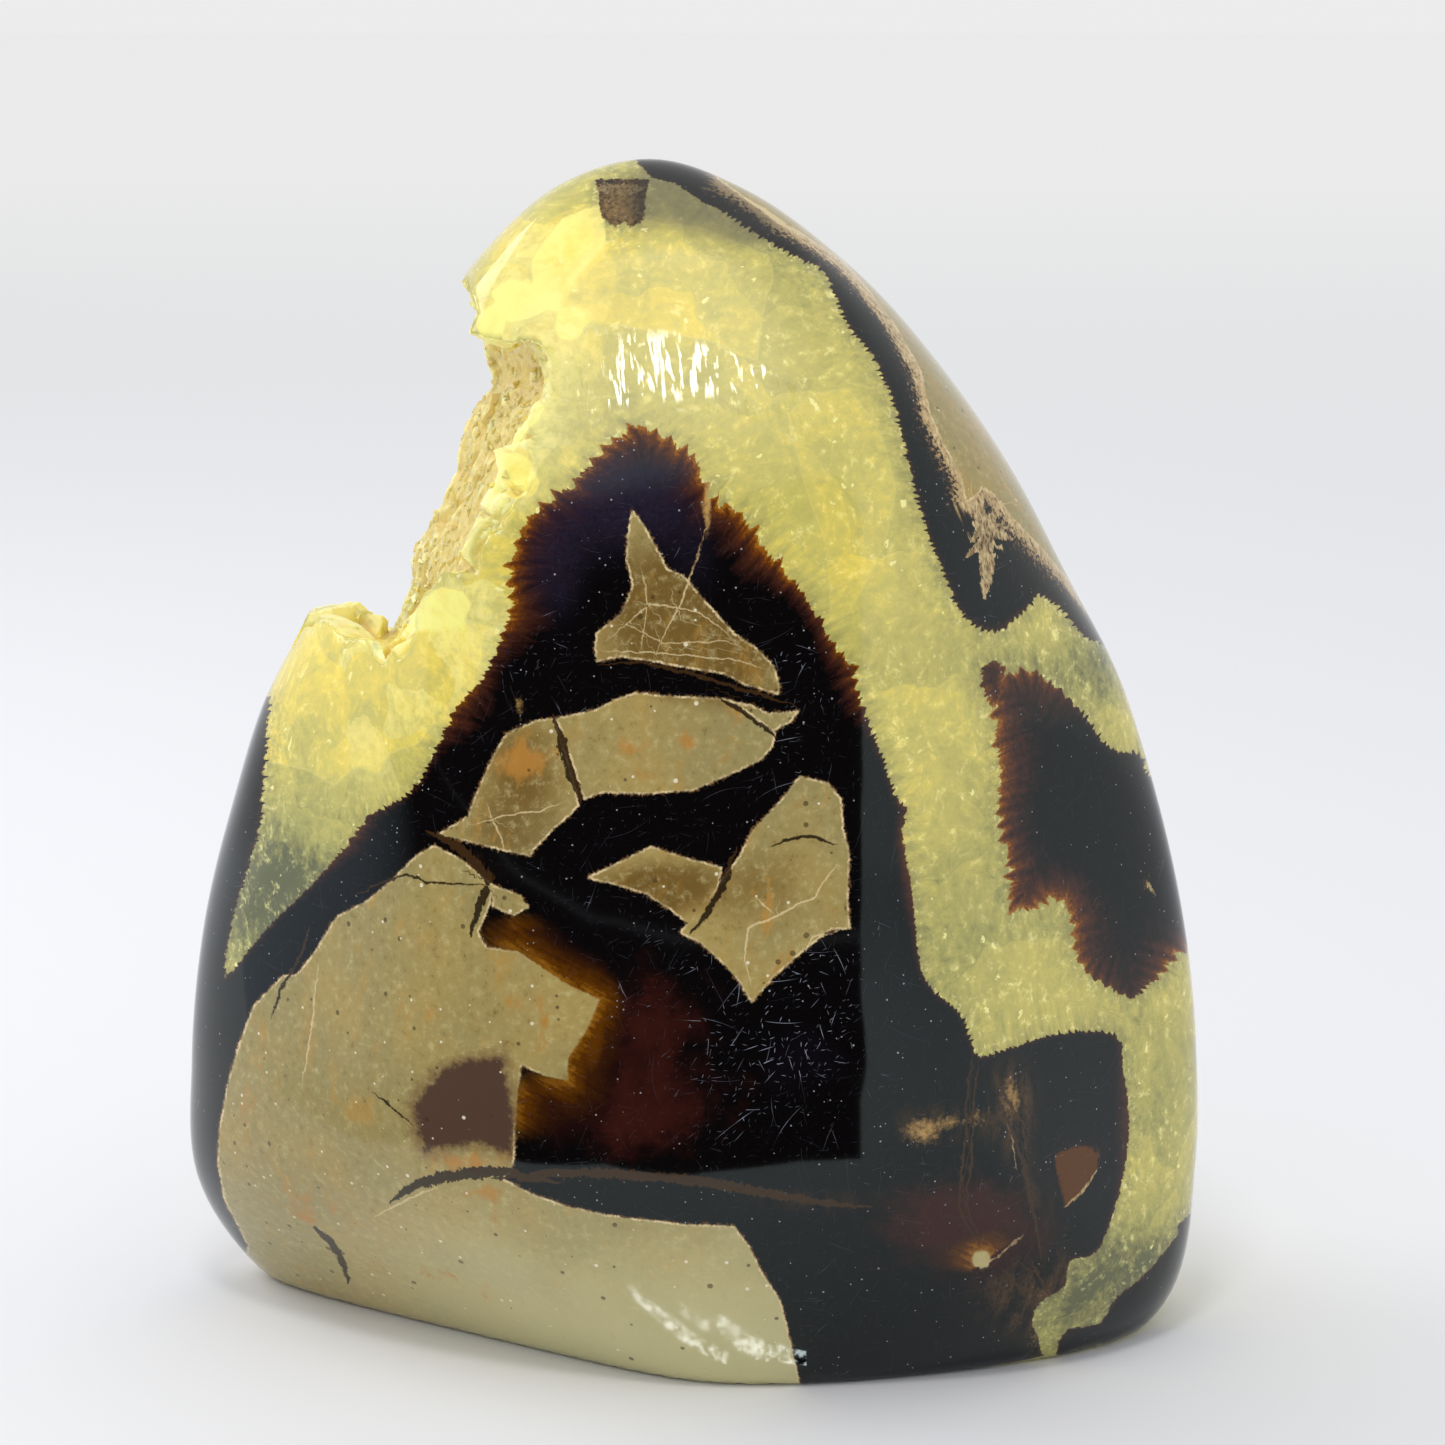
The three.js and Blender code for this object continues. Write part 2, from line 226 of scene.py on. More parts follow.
frontSheet = {
    "eye": (2.1, -356, 125),
    "y": -22,
    "rims": {     # dark aragonite, with the limestone that it encloses
        "arch": [
            (-38.6, 36.6), (-35.1, 40.7), (-31.2, 44.5), (-28, 48), (-26.4, 50.1), (-24.5, 51.1),
            (-22.4, 52.9), (-20.2, 57.2), (-18.9, 59.4), (-16.9, 61.7), (-15, 66), (-14.5, 68.2),
            (-14.7, 69.9), (-13.7, 73.9), (-11.2, 76), (-9.5, 77.2), (-7.9, 79.3), (-5.3, 81.4),
            (-3.5, 81.5), (-0.3, 79.1), (0.4, 77.4), (1.6, 75.2), (2.8, 75.4), (5.3, 72), (8.7, 68),
            (11.1, 63.8), (12.4, 62.5), (12.7, 60.5), (14.9, 55.1), (16.1, 51.6), (16.9, 50.6),
            (16.6, 48.5), (17.5, 43.9), (18.3, 37.3), (19.8, 35), (21.6, 33.4), (22.9, 30), (24.3, 30),
            (27.3, 31.1), (30.4, 31.8), (34.4, 31.6), (35, 28.7), (35.5, 25.9), (35.5, 21.4),
            (34.4, 16.2), (33.1, 13), (30.9, 12.2), (30.5, 10), (28.4, 8.5), (27.9, 6.6), (28.7, 4.2),
            (30.3, -9), (-48, -9), (-54, 26), (-46, 54.6), (-35.5, 60.3), (-34.9, 57), (-35.3, 52.1),
            (-35.6, 49.1), (-37, 44.5), (-37.8, 41.9)],
        "heel": [
            (30.1, 5.3), (33.5, 6.8), (34.8, 9), (37.2, 11.1), (39.7, 14.3), (40.7, 16.2), (49, 21),
            (49.5, -3.4), (31.9, -3.4)],
        "island": [
            (24.4, 60.9), (26.4, 61.8), (28.4, 61.1), (31.4, 58.2), (32.6, 56.4), (33.9, 55.4),
            (35.9, 55.1), (36.9, 53.1), (43, 51.3), (46, 39.6), (40.1, 39.4), (37.5, 36.8), (35.7, 35),
            (33.8, 36), (32, 37.3), (31.1, 39.1), (30.9, 41.2), (29.9, 43.2), (28.4, 43.4),
            (26.7, 42.4), (25.7, 43.9), (25.9, 46), (25.2, 48), (24.8, 51.6), (24.9, 53.7), (24.5, 56.6)],
        "shoulder": [
            (-4.2, 102.6), (-1.6, 101.3), (0.6, 99.8), (2.8, 98.8), (5.3, 97.1), (8.1, 95.5),
            (10.1, 94.5), (11.5, 91.7), (12.4, 89.8), (14.2, 87.6), (15.9, 83.7), (16.8, 80.2),
            (18, 75.6), (18.7, 73.3), (19.7, 70.9), (21.5, 66.9), (23.9, 65.5), (26.1, 66.9),
            (27.5, 68.4), (29.3, 67.4), (30.5, 66), (32.8, 64.4), (43, 62.8), (42, 110), (-5, 110)],
        "tuft": [
            (-7.8, 101.3), (-7.5, 101.6), (-4, 101.6), (-3.7, 101.3), (-4, 100.2), (-4.1, 98.6), (-5.1, 97.9),
            (-5.6, 98.3), (-6.2, 98), (-6.8, 98.1), (-7.5, 98.9), (-7.6, 100.2)],
        "fleck": [(23.2, 62.1), (24.4, 62.8), (24.8, 60.3), (23.8, 59.5)],
    },
    "blocks": {   # limestone
        "triangle": [
            (-5.1, 75.2), (-4.2, 74), (-3.1, 72), (-2.4, 70.5), (-0.9, 69.8), (-0.3, 69), (3, 65.2),
            (4.8, 64), (6.2, 62.5), (6.7, 61), (6.6, 60.2), (3.8, 61.1), (2.3, 61.9), (-1.2, 62.5),
            (-3.6, 63), (-6.1, 63.4), (-8, 63), (-8.1, 64.2), (-8, 65.2), (-6, 66.8), (-5.5, 68),
            (-5.1, 69.2), (-5.6, 71.2), (-5.5, 73.2)],
        "lens": [
            (-11.3, 58.2), (-8.1, 58.9), (-6.6, 59.7), (-4.9, 60.3), (-2.9, 60.1), (2, 59.9),
            (2.8, 59.7), (6.4, 57), (6.1, 55.9), (5.2, 54.9), (2.8, 53.7), (-0.4, 52.3), (-4.2, 52),
            (-7.6, 52.1), (-9.1, 51.6), (-10.8, 57)],
        "sliver": [(3, 59.6), (4.5, 59.3), (5.7, 58.7), (8.2, 58.8), (7.5, 57.9), (6.2, 57.2)],
        "leftMiddle": [
            (-11.6, 58.2), (-13, 58), (-15.3, 57), (-16.3, 55.4), (-17.5, 52.7), (-18.6, 50.1),
            (-21, 48.6), (-15.6, 47.2), (-13.6, 46.8), (-13.1, 47.5), (-11.6, 49.1), (-9.6, 51),
            (-10.1, 53.4), (-10.8, 55.9)],
        "lowerQuad": [
            (-8.8, 45), (-6.7, 46), (-3.7, 47.5), (-0.7, 46.5), (2, 45.8), (1.7, 44.3), (-0.2, 40.9),
            (-2.2, 42.4), (-4.2, 43.7), (-6.7, 44.5)],
        "kite": [
            (8.4, 53.4), (10.7, 52.9), (11.7, 51.6), (11.9, 48.9), (12.4, 47), (12.3, 43.2),
            (12.5, 40.7), (11, 40.7), (9, 39.1), (6.2, 36.6), (4.5, 34.5), (3.5, 36.3), (2.2, 37.8),
            (0.3, 39.6), (-1.2, 40.4), (2, 44.5), (3.5, 46.8), (4.5, 48.9), (6.8, 51.3)],
        "dot": [(22.8, 12.4), (23, 13), (23.6, 13.2), (24.2, 13), (24.4, 12.4), (24.2, 11.8), (23.6, 11.6),
                (23, 11.8)],
        "shard": [(-16.6, 44.3), (-14.4, 43.5), (-13.8, 42.5), (-15, 41.9), (-16.6, 42.6)],
        "field": [
            (-21.3, 47.7), (-22.8, 46.8), (-24.6, 45), (-27, 42.9), (-29.3, 41.7), (-31.1, 38.8),
            (-32.7, 36.8), (-33.9, 36.7), (-36.3, 34.2), (-37.5, 31.1), (-38.6, 27.2), (-39.4, 23.5),
            (-39.5, 20.9), (-39, 17.5), (-38, 15.3), (-37.2, 13.6), (-38, 8), (-35, -4), (-16.5, -9),
            (8.6, -9), (8.5, 1.4), (7.7, 5.3), (6.9, 8.7), (5.4, 11.2), (4.4, 13.3), (3, 15.2),
            (-1.2, 15.4), (-5, 15.9), (-7.8, 16.3), (-10.8, 17), (-13.6, 18), (-16.2, 19.4),
            (-15.4, 20.1), (-15.1, 21.4), (-15, 24), (-14.5, 29.3), (-12.3, 28.2), (-10.7, 27.9),
            (-10.6, 29.8), (-9, 32.3), (-8, 34.7), (-10.8, 36.1), (-13.2, 37.8), (-14.7, 38.8),
            (-17.2, 39.1), (-17.9, 40.4), (-16.9, 42.7), (-16.6, 44.3), (-19, 46.4)],
        "cap": [
            (0.3, 110), (1.7, 101.7), (6.6, 98.1), (8.8, 97), (11.7, 95.1), (13.2, 93.4), (15.8, 90),
            (17.8, 86.6), (18.6, 83), (19.8, 80.5), (21.1, 78.1), (21.6, 75.8), (23, 77),
            (23.7, 76.6), (25.3, 74.6), (27.7, 72.1), (30, 69.4), (31.5, 67.2), (33.4, 64.4),
            (43.6, 64.4), (42.5, 110)],
    },
    "stains": {   # purple-brown patch within the limestone
        "umber": [
            (-21, 28.8), (-18.6, 29.6), (-16, 29.8), (-15.6, 28.2), (-15, 24), (-15.2, 21.4),
            (-18.3, 22.5), (-22.4, 21.7), (-23.2, 23.5), (-23.3, 25.9)],
    },
    "cracks": {   # half width at the middle, then the line
        "ridge": (0.5, [(-25.5, 17.3), (-23.4, 18.8), (-21.2, 19.5), (-17.4, 20), (-11.3, 19.1)]),
        "foot": (0.42, [(-17, 19.4), (-12, 19.9), (-8, 19.9), (0.2, 19.2), (6.8, 17.9), (14.5, 16.8)]),
        "heel": (0.3, [(-31.8, 15.2), (-30.4, 14), (-29.5, 12.4), (-28.9, 10.2)]),
        "shoulder": (0.1, [(-28, 43.4), (-26.5, 44.2), (-23.7, 45.3), (-21.7, 44.6), (-16.8, 44.3)]),
        "kite": (0.14, [(6, 47.5), (7.6, 48.2), (9.6, 48.4), (11.5, 47.7)]),
        "kiteFoot": (0.26, [(3.3, 47.6), (2.1, 44.2), (0.7, 41.7), (-0.6, 40.2)]),
        "lens": (0.34, [(-11.6, 58.6), (-10.8, 55.8), (-10.1, 53.3), (-9.2, 51.2)]),
        "left": (0.4, [(-22, 49), (-19, 47.3), (-16.8, 44.9), (-17.8, 42.5), (-18.5, 40)]),
        "triangle": (0.14, [(-8, 62.6), (-4.5, 62.9), (-0.5, 61.9), (3.9, 60.6), (8.2, 59.2)]),
        "sliver": (0.2, [(1.6, 60), (3.6, 58.9), (5.4, 57.6), (6.6, 56.6)]),
        "umber": (0.08, [(-26.8, 26.9), (-24.8, 25.2), (-23.3, 23.9)]),
        "edge": (0.12, [(-31.5, 41), (-32.3, 38.6), (-34, 35.5), (-35, 33)]),
        "dripA": (0.11, [(22.8, 30.2), (22.3, 28), (22.2, 24.9), (22.1, 21.7), (21.7, 18.6), (21.9, 16.1),
                         (22.8, 14.8), (23.6, 13.2)]),
        "dripB": (0.1, [(23.3, 30.2), (22.9, 28), (22.8, 24.9), (22.7, 21.7), (22.3, 18.6), (22.5, 16.1),
                        (23.3, 14.8), (23.6, 13.6)]),
        "frayA": (0.16, [(25.2, 25.5), (26.1, 23), (27, 20.6), (27.8, 16.4), (28.6, 12.3)]),
        "frayB": (0.12, [(24.2, 28.6), (25.4, 26.4), (26.9, 24.2), (27.3, 21)]),
        "frayC": (0.14, [(25.2, 11.6), (26.4, 10.4), (27.4, 9)]),
        "frayD": (0.12, [(27.8, 12.4), (28.6, 10.6), (29.2, 9.2)]),
    },
    "veins": {    # pale lines, drawn the same way
        "triangleA": (0.05, [(-7.5, 64.4), (-3.7, 67.7), (0.3, 66.9), (3.5, 64.4)]),
        "triangleB": (0.04, [(-4.5, 70.9), (-3.9, 67.7), (-4.5, 63.6)]),
        "triangleC": (0.07, [(1, 74.4), (-0.3, 70.3), (-1.3, 67.7), (-3.3, 63.6)]),
        "triangleD": (0.05, [(-8.1, 63.8), (-2.9, 63.6), (3.1, 63.1), (6.1, 62.1)]),
        "triangleE": (0.04, [(-6.8, 66.6), (-2.6, 64.4), (2.4, 64.6), (4.6, 63.6)]),
        "leftA": (0.06, [(-18.3, 49.4), (-15.9, 50.1), (-12.7, 50.6), (-10.6, 51.4)]),
        "leftB": (0.05, [(-17.1, 51.3), (-15.5, 47.1)]),
        "kiteA": (0.09, [(11.5, 46.3), (9.6, 43.4), (6.4, 41.7), (4.2, 40.8), (3.9, 38.3), (4.5, 35.8)]),
        "kiteB": (0.08, [(12.3, 40.8), (9.6, 40), (8.8, 38.7)]),
        "kiteC": (0.05, [(4.7, 43.4), (6.4, 41.9)]),
        "field": (0.05, [(-30.9, 38.3), (-31.5, 32.8), (-32.6, 26.9)]),
        "ridge": (0.08, [(-26.8, 16), (-24.4, 17.4), (-21.4, 18.7)]),
        "capEdge": (0.3, [(1.9, 101.3), (5, 99.4), (8.4, 97), (11.4, 94.9), (13.1, 93), (15.6, 89.6),
                          (17.5, 86.3), (18.4, 82.8), (19.6, 80.3), (20.9, 77.7), (21.6, 76)]),
        "capFoot": (0.26, [(23.6, 76.6), (25.2, 74.4), (27.5, 71.9), (29.8, 69.2), (31.6, 66.6)]),
        "capTuft": (0.62, [(22.8, 77.2), (22.6, 75.2), (23.2, 72.4), (23.4, 70.4), (23.1, 68)]),
        "capTuftArm": (0.5, [(21.2, 75.9), (22.6, 74.8), (24, 73.4), (25.4, 72.9)]),
        "capTuftHand": (0.4, [(21.6, 71.4), (22.8, 72.6), (24.4, 76)]),
        "gleamA": (0.1, [(24.1, 12), (25.7, 13.3), (27.1, 14.6)]),
        "gleamB": (0.1, [(30.4, 16.9), (32, 18.4), (33.2, 20.4)]),
        "tuft": (0.4, [(-8.2, 101), (-6, 100.8), (-4, 100.9)]),
        "knotA": (0.12, [(36.6, 44.6), (37.4, 43.4)]),
        "frayed": (0.05, [(25.4, 25), (26, 22.6), (26.4, 20)]),
    },
    # soft spots of a tint: x, z, half width, half height, strength
    # painted light and shade: pools where the calcite is painted brighter, and below zero duller
    "paintedLightAndShade": [
        (-13.9, 95.6, 5.6, 4.6, 0.75), (-12, 89.3, 5.5, 3.6, 0.6), (-13.4, 82, 4.2, 5.4, 0.8),
        (-17, 73, 4.4, 9, 0.9), (-24.6, 63.6, 8, 5.3, 0.9), (31, 8, 5, 5, -1.8), (-26.3, 55.4, 6.4, 4.9, 0.5),
        (-34.6, 43.5, 4.6, 6.5, -3.6), (1.9, 91.7, 8, 4.9, 0.3), (37.5, 25, 2.6, 5, -0.9),
        (36.6, 12.2, 5.6, 4.1, -2.2), (30.2, 62.6, 5.8, 3.4, -2), (-1, 100.4, 5.6, 2.3, -0.9),
        (11.4, 89.3, 3.2, 4.9, -0.25), (16.4, 63.6, 3.2, 7.3, 0.1), (23.1, 35.4, 4.8, 4.1, -0.25),
        (36, 45, 4, 8, -0.4), (8, 97, 6, 2.5, -0.7), (22.5, 41, 4.4, 7, -0.8),
        (9.6, 93, 4, 4, -0.6), (13.2, 82, 3.6, 4.4, -0.6), (38, 30, 3, 6, -0.4), (13.5, 71, 3.4, 6.5, 0.5)],
    "amber": [
        (-8.6, 31.4, 2.2, 4.4, 1.25), (-12.2, 25.8, 4.6, 3.0, 0.85), (-14.4, 40.2, 3.2, 1.8, 0.8),
        (-11.2, 37.4, 2.8, 1.6, 0.75), (-8, 34.6, 2, 2, 0.5), (31.6, 19.8, 3.4, 4, 2.2),
        (25.6, 13.8, 2.2, 1.1, 1.15), (22, 12.6, 3.6, 1.2, 1.0)],
    # partly the dark crystal's own red brown, partly painted light shining through it
    "red": [
        (-3.8, 32, 4.8, 5.4, 1.1), (-4.7, 24.6, 7.2, 3.8, 1.1), (20.4, 15.6, 5.6, 4.2, 1.2),
        (31.5, 21.5, 2.6, 3.4, 0.6), (24.5, 14.6, 5.6, 3.6, 0.9)],
    "gold": [
        (18.6, 23.5, 1.7, 1.1, 1), (21, 24.4, 1, 0.6, 0.7), (23.2, 24.6, 0.9, 1, 0.6),
        (25.9, 26.4, 0.9, 2, 0.8), (-5.8, 99.4, 2.4, 2.2, 0.9), (28.4, 9.4, 1.6, 1, 0.4),
        (28, 5.4, 1, 1.6, 0.5),
        (0.9, 75.9, 0.3, 2.5, 1.3), (-14.3, 59.3, 0.35, 1, 0.9), (36.7, 44.4, 0.45, 1.2, 0.5)],
    "rust": [
        (-14.2, 54.4, 2.8, 2, 0.9), (-0.5, 56.4, 2.4, 1, 0.8), (3.1, 58.5, 1.7, 1.5, 0.8),
        (-5.8, 55.8, 1.6, 1, 0.6), (-19.3, 20.9, 1.9, 1, 1), (-16.7, 16.2, 0.8, 1.6, 1),
        (-32.8, 16.6, 2.8, 1.8, 0.7), (-36.3, 25.2, 1.2, 3.3, 0.7), (6, 44.6, 2, 2.4, 0.3),
        (-22.2, 33.7, 4.8, 2.4, 0.25), (6.8, 37.9, 2.4, 2.4, 0.5),
        (-12.6, 33, 0.35, 4.6, 0.6), (-14.6, 34.4, 1.6, 1.2, 0.6), (-18, 18.2, 4, 0.7, 0.7),
        (-23, 11.4, 5, 1.2, 0.4), (-3.5, 53.4, 1.4, 0.9, 0.5), (2, 54.8, 1.6, 0.9, 0.5)],
    "comb": [
        (-1, 86, 15, 9, 0.45), (-8.8, 85.6, 1.5, 4.4, 0.6), (-5.6, 87, 1.8, 2.8, 0.7),
        (-2.2, 86.6, 1.9, 2.6, 0.7),
        (1.4, 85.6, 2, 2.2, 0.7), (4.8, 84.6, 1.9, 2, 0.7), (8, 83, 1.5, 2, 0.7),
        (10.6, 81.4, 1.5, 1.8, 0.7)],
    # painted sheen: where the black shows a purple-blue veil
    "violetSheen": [(-5.5, 76.5, 5.4, 4.6, 1.1), (-11.5, 70, 3, 7, 0.8), (0, 71, 3, 5, 0.5), (9.5, 31, 5, 7, 0.4)],
    "fringe": [
        (-5, 79, 9, 5, 1.1), (-13, 70, 4, 7, 1.1), (5, 72, 6, 5, 0.8), (12, 62, 4, 6, 0.55),
        (-18, 58, 3.4, 4, 0.6), (26, 56, 4, 8, 1), (28, 42, 5, 5, 1), (37, 40, 6, 5, 0.8),
        (17.5, 47, 2, 7, 0.45), (34.8, 24, 1.6, 6, 0.4), (-28, 48, 6, 4, 0.4)],
    "brown": [(0, 66, 8, 7, 1.4), (-14, 53, 5, 6, 0.9), (-2, 55, 7, 4, -0.8), (8, 46, 6, 7, 0.35),
              (-3, 44, 6, 3, 1.2)],
    "woody": [(-5.8, 99.4, 2.6, 2.6, 2.4), (26, 25.5, 2, 4, 1.1), (28, 15, 1.6, 5, 0.8),
              (27.6, 9.6, 4, 3.4, 1.4), (19.6, 24, 3.6, 1.8, 0.8), (-20, 45.5, 4, 2, 0.5),
              (10, 17.5, 8, 1.2, 0.5)],
    "fur": [
        (6, 98.5, 5, 3, 1), (1.4, 101, 2.2, 2, 1.4), (12, 94, 4, 4, 1), (17, 87, 4, 5, 1.1),
        (20, 80, 3.5, 5, 1.2), (23, 73, 4, 5, 1.5), (28, 70, 4, 4, 1)],
    "worn": [(4.3, 31, 7, 8, 1), (9, 36, 5, 7, 0.8), (8, 62, 5, 5, 0.5), (-14, 62, 4, 6, 0.3),
             (12, 54, 4, 8, 0.3)],
    "blunt": [(39, 14, 12, 10, 1.3), (30, 6, 5, 6, 1.3), (36, 28, 3.4, 6, 0.7), (26, 31, 5, 2, 0.5),
              (-34, 40, 8, 9, 0.8), (-5.8, 99.6, 3.2, 2.8, 1.8),
              (18.4, 42, 2.4, 12, 0.8), (-0.5, 99.6, 4, 2, 0.9)],
    # painted shade and reflection: a grey veil over the top
    "greyShadeAndVeil": [(-1, 99.8, 5.5, 2.6, 1.1), (4.6, 97.6, 3.4, 1.8, 0.8), (-5.6, 99.4, 2.2, 1.6, 0.3),
             (-1.6, 102.4, 3, 1.2, 0.8)],
    "plates": [     # a sheet of crystal with a crisp edge, painted brighter as a face lit by the light: how much brighter, then its outline
        (0.3, [(5.8, 95.6), (6.1, 93.8), (5.5, 92), (5.1, 89.6), (4.8, 87.2), (1.3, 88.8), (-1.7, 89.4),
               (-7.9, 90.3), (-10.7, 91.7), (-8.3, 95.6), (-4.4, 98.4), (0.3, 97.8)]),
        (0.2, [(7.3, 83), (8.8, 77), (10.4, 72.4), (10.9, 66), (12.3, 66.9), (15, 72.1), (16, 77),
               (14.6, 81.8), (12.2, 85), (9.4, 84.7)]),
        (0.9, [(-13.1, 95.2), (-10.7, 98.4), (-7.5, 99.7), (-7.1, 96.8), (-8.7, 94.1), (-9.9, 91.7),
               (-12.7, 92.5)]),
        (1.1, [(-24, 63.9), (-23.8, 66.2), (-22.8, 66.9), (-21.8, 68.2), (-20.5, 69), (-18.9, 68.8),
               (-18, 67.5),
               (-18.6, 66.7), (-18.4, 65.4), (-19.6, 65.5), (-21.5, 65.3), (-22.8, 64.4)]),
        (0.8, [(-25.7, 64.4), (-24.4, 64.4), (-23.8, 63.9), (-21.5, 65.2), (-19.6, 65.4), (-18.4, 65.2),
               (-17.3, 63.9),
               (-17.2, 62.5), (-18.4, 63.1), (-20.3, 64.1), (-21.6, 62.8), (-22.9, 62.1), (-23.8, 61.1),
               (-25.1, 60.2), (-26.4, 60.5), (-27.2, 61.1), (-27.5, 62.1), (-27.2, 63.1)]),
        (1.2, [(-31, 63.3), (-29.4, 63.8), (-28.6, 64.6), (-27.8, 64.4), (-26.4, 63.6), (-27.4, 63.1),
               (-29.3, 62),
               (-30.3, 62.5)]),
        (1, [(-14.2, 83.6), (-12.8, 84.2), (-12, 83.6), (-12.4, 82.6), (-13.4, 81.8), (-14.6, 80),
             (-15.4, 80.6),
             (-15.5, 81.6), (-14.8, 82.6)]),
        (0.7, [(-16.9, 78.6), (-16, 80), (-14.2, 79.8), (-13.2, 79.2), (-12.6, 77.6), (-12.9, 76.4),
               (-14.6, 76.2),
               (-16.2, 76.8)]),
        (0.9, [(-17.7, 76.6), (-17.2, 77.4), (-16.2, 76.8), (-14.7, 75.6), (-15.3, 75.4), (-16.8, 75.8)]),
        (0.9, [(-17.3, 90.5), (-16.5, 91.7), (-15.7, 91.7), (-15, 90.3), (-15.5, 89.1), (-16.3, 88.3),
               (-17.1, 88.9)]),
        (1.1, [(-16.3, 92.7), (-14.7, 93.9), (-13.1, 93.3), (-11.5, 92.9), (-10.5, 91.7), (-12.3, 91.1),
               (-14.3, 90.3),
               (-15.1, 90.7), (-15.7, 91.7)]),
        (0.8, [(-10.9, 91.3), (-9.6, 91.5), (-8.4, 90.9), (-9.2, 89.3), (-10.4, 88.6), (-11.2, 89.7)]),
        (0.35, [(-17.8, 60.2), (-19.6, 56.8), (-21.2, 57.9), (-22.6, 56.1), (-24.8, 55.4), (-25.8, 53.6),
               (-27.6, 54.3), (-29.4, 52.6), (-31.4, 53.9), (-36, 55), (-34, 66), (-17, 66)]),
    ],
    "panes": [      # where light comes through the dark crystals
        [(-18.4, 42.9), (-14.3, 44.6), (-11.1, 41.7), (-7.9, 39.2), (-5, 37.6), (-3.8, 34.5),
         (-3.6, 29.5), (-5.2, 25.5), (-8.4, 22.2), (-15.8, 21.2), (-16.1, 29.5)],
        [(15.1, 12.1), (19.2, 19.2), (24.9, 21.8), (27.2, 21.8), (27.3, 15.1), (23.6, 12.1), (20.1, 8.8),
         (16, 9.7)],
        [(29.4, 21.4), (31.4, 22.2), (33.3, 22), (33, 20.2), (32, 18.3), (30.5, 16.9), (30, 19)],
    ],
}

backSheet = {
    "eye": (0, 420, 60),
    "y": 22,
    "rims": {
        "lower": [
            (-60, 58), (-36, 57), (-28, 54), (-18, 50), (-6, 47), (4, 41), (10, 33), (14, 24), (17, 12),
            (19, -12), (-60, -12)],
        "upper": [
            (60, 110), (60, 44), (42, 44), (36, 47), (27, 50), (18, 53), (9, 59), (4, 67), (2, 76),
            (3, 86), (5, 94), (2, 110)],
        "island": [(34, 33), (36, 39), (44, 43), (60, 44), (60, 27), (44, 27), (38, 28)],
    },
    "blocks": {
        "slab": [
            (-38, 51), (-30, 49), (-21, 45.5), (-14, 42), (-12, 36), (-16, 27), (-24, 24), (-33, 25),
            (-40, 29), (-41, 44)],
        "toe": [
            (-37, 20), (-26, 18.5), (-15, 22), (-8, 24), (-5, 18), (-4, 8), (-5, -12), (-38, -12),
            (-40, 12)],
        "wedge": [
            (-8, 40), (-1, 37), (5, 30), (8, 22), (10, 12), (11, -12), (0, -12), (0, 10), (-2, 20),
            (-6, 28), (-9, 34)],
        "capUpper": [
            (16, 110), (12, 97), (9, 87), (8, 78), (10, 70), (14, 66), (22, 70), (30, 73), (40, 75),
            (60, 76), (60, 110)],
        "capLower": [
            (16, 62), (22, 57.5), (30, 54.5), (40, 52), (60, 50), (60, 71), (40, 70.5), (31, 69),
            (23, 66.5)],
    },
    "stains": {"umber": [(-34, 34), (-27, 36), (-24, 31), (-29, 27), (-35, 29)]},
    "cracks": {
        "slab": (0.3, [(-36, 47), (-30, 42), (-27, 35), (-20, 31)]),
        "toe": (0.25, [(-33, 16), (-25, 12), (-16, 13), (-9, 9)]),
        "cap": (0.3, [(12, 88), (18, 84), (26, 85)]),
    },
    "veins": {
        "slab": (0.12, [(-33, 41), (-26, 44), (-18, 41)]),
        "wedge": (0.12, [(-5, 34), (2, 29), (4, 18), (8, 10)]),
        "cap": (0.12, [(13, 76), (20, 79), (30, 78)]),
        "capLower": (0.1, [(20, 61), (28, 63), (36, 58)]),
    },
    # painted light and shade: pools where the calcite is painted brighter, and below zero duller
    "paintedLightAndShade": [(-16, 70, 8, 12, 0.8), (0, 60, 8, 10, 0.2), (22, 40, 10, 8, -0.3), (-8, 92, 8, 6, 0.5)],
    "amber": [(-12, 24, 3, 2, 0.8), (5, 62, 3, 4, 0.4), (36, 46, 4, 1.5, 0.6)],
    "red": [(-3, 43, 4, 3, 0.8), (15, 40, 3, 6, 0.4)],
    "gold": [(-10, 31, 0.6, 2, 0.8), (6, 79, 0.5, 2.2, 0.8)],
    "rust": [(-30, 38, 5, 3, 0.8), (-20, 12, 6, 2.5, 0.7), (26, 80, 5, 3, 0.6), (4, 22, 2, 4, 0.6)],
    "comb": [],
    "violetSheen": [(-5, 52, 8, 4, 0.8), (12, 44, 4, 6, 0.6)],
    "fringe": [(-20, 53, 22, 8, 0.9), (10, 38, 8, 14, 0.7), (5, 75, 5, 16, 0.8), (22, 52, 12, 5, 0.6),
               (46, 35, 12, 9, 0.8), (-48, 45, 10, 20, 0.6)],
    "brown": [(14, 66, 6, 8, 0.7), (-30, 45, 8, 5, 0.5), (30, 90, 10, 10, 0.5)],
    "woody": [(14, 20, 4, 14, 0.8)],
    "fur": [(10, 85, 3, 16, 1), (26, 64, 12, 3, 0.8)],
    "worn": [(-2, 40, 10, 8, 0.7)],
    "greyShadeAndVeil": [], "blunt": [],
    # painted light: crystal sheets drawn brighter, as faces lit by the light
    "plates": [(0.4, [(-24, 92), (-12, 95), (-8, 84), (-14, 74), (-24, 76)]), (0.3, [(16, 46), (26, 44),
                                                                                     (24, 34), (17, 32)])],
    "panes": [[(-20, 30), (-4, 30), (-4, 16), (-18, 18)], [(0, 70), (10, 70), (10, 52), (0, 56)],
              [(28, 50), (46, 50), (46, 42), (28, 43)]],
}

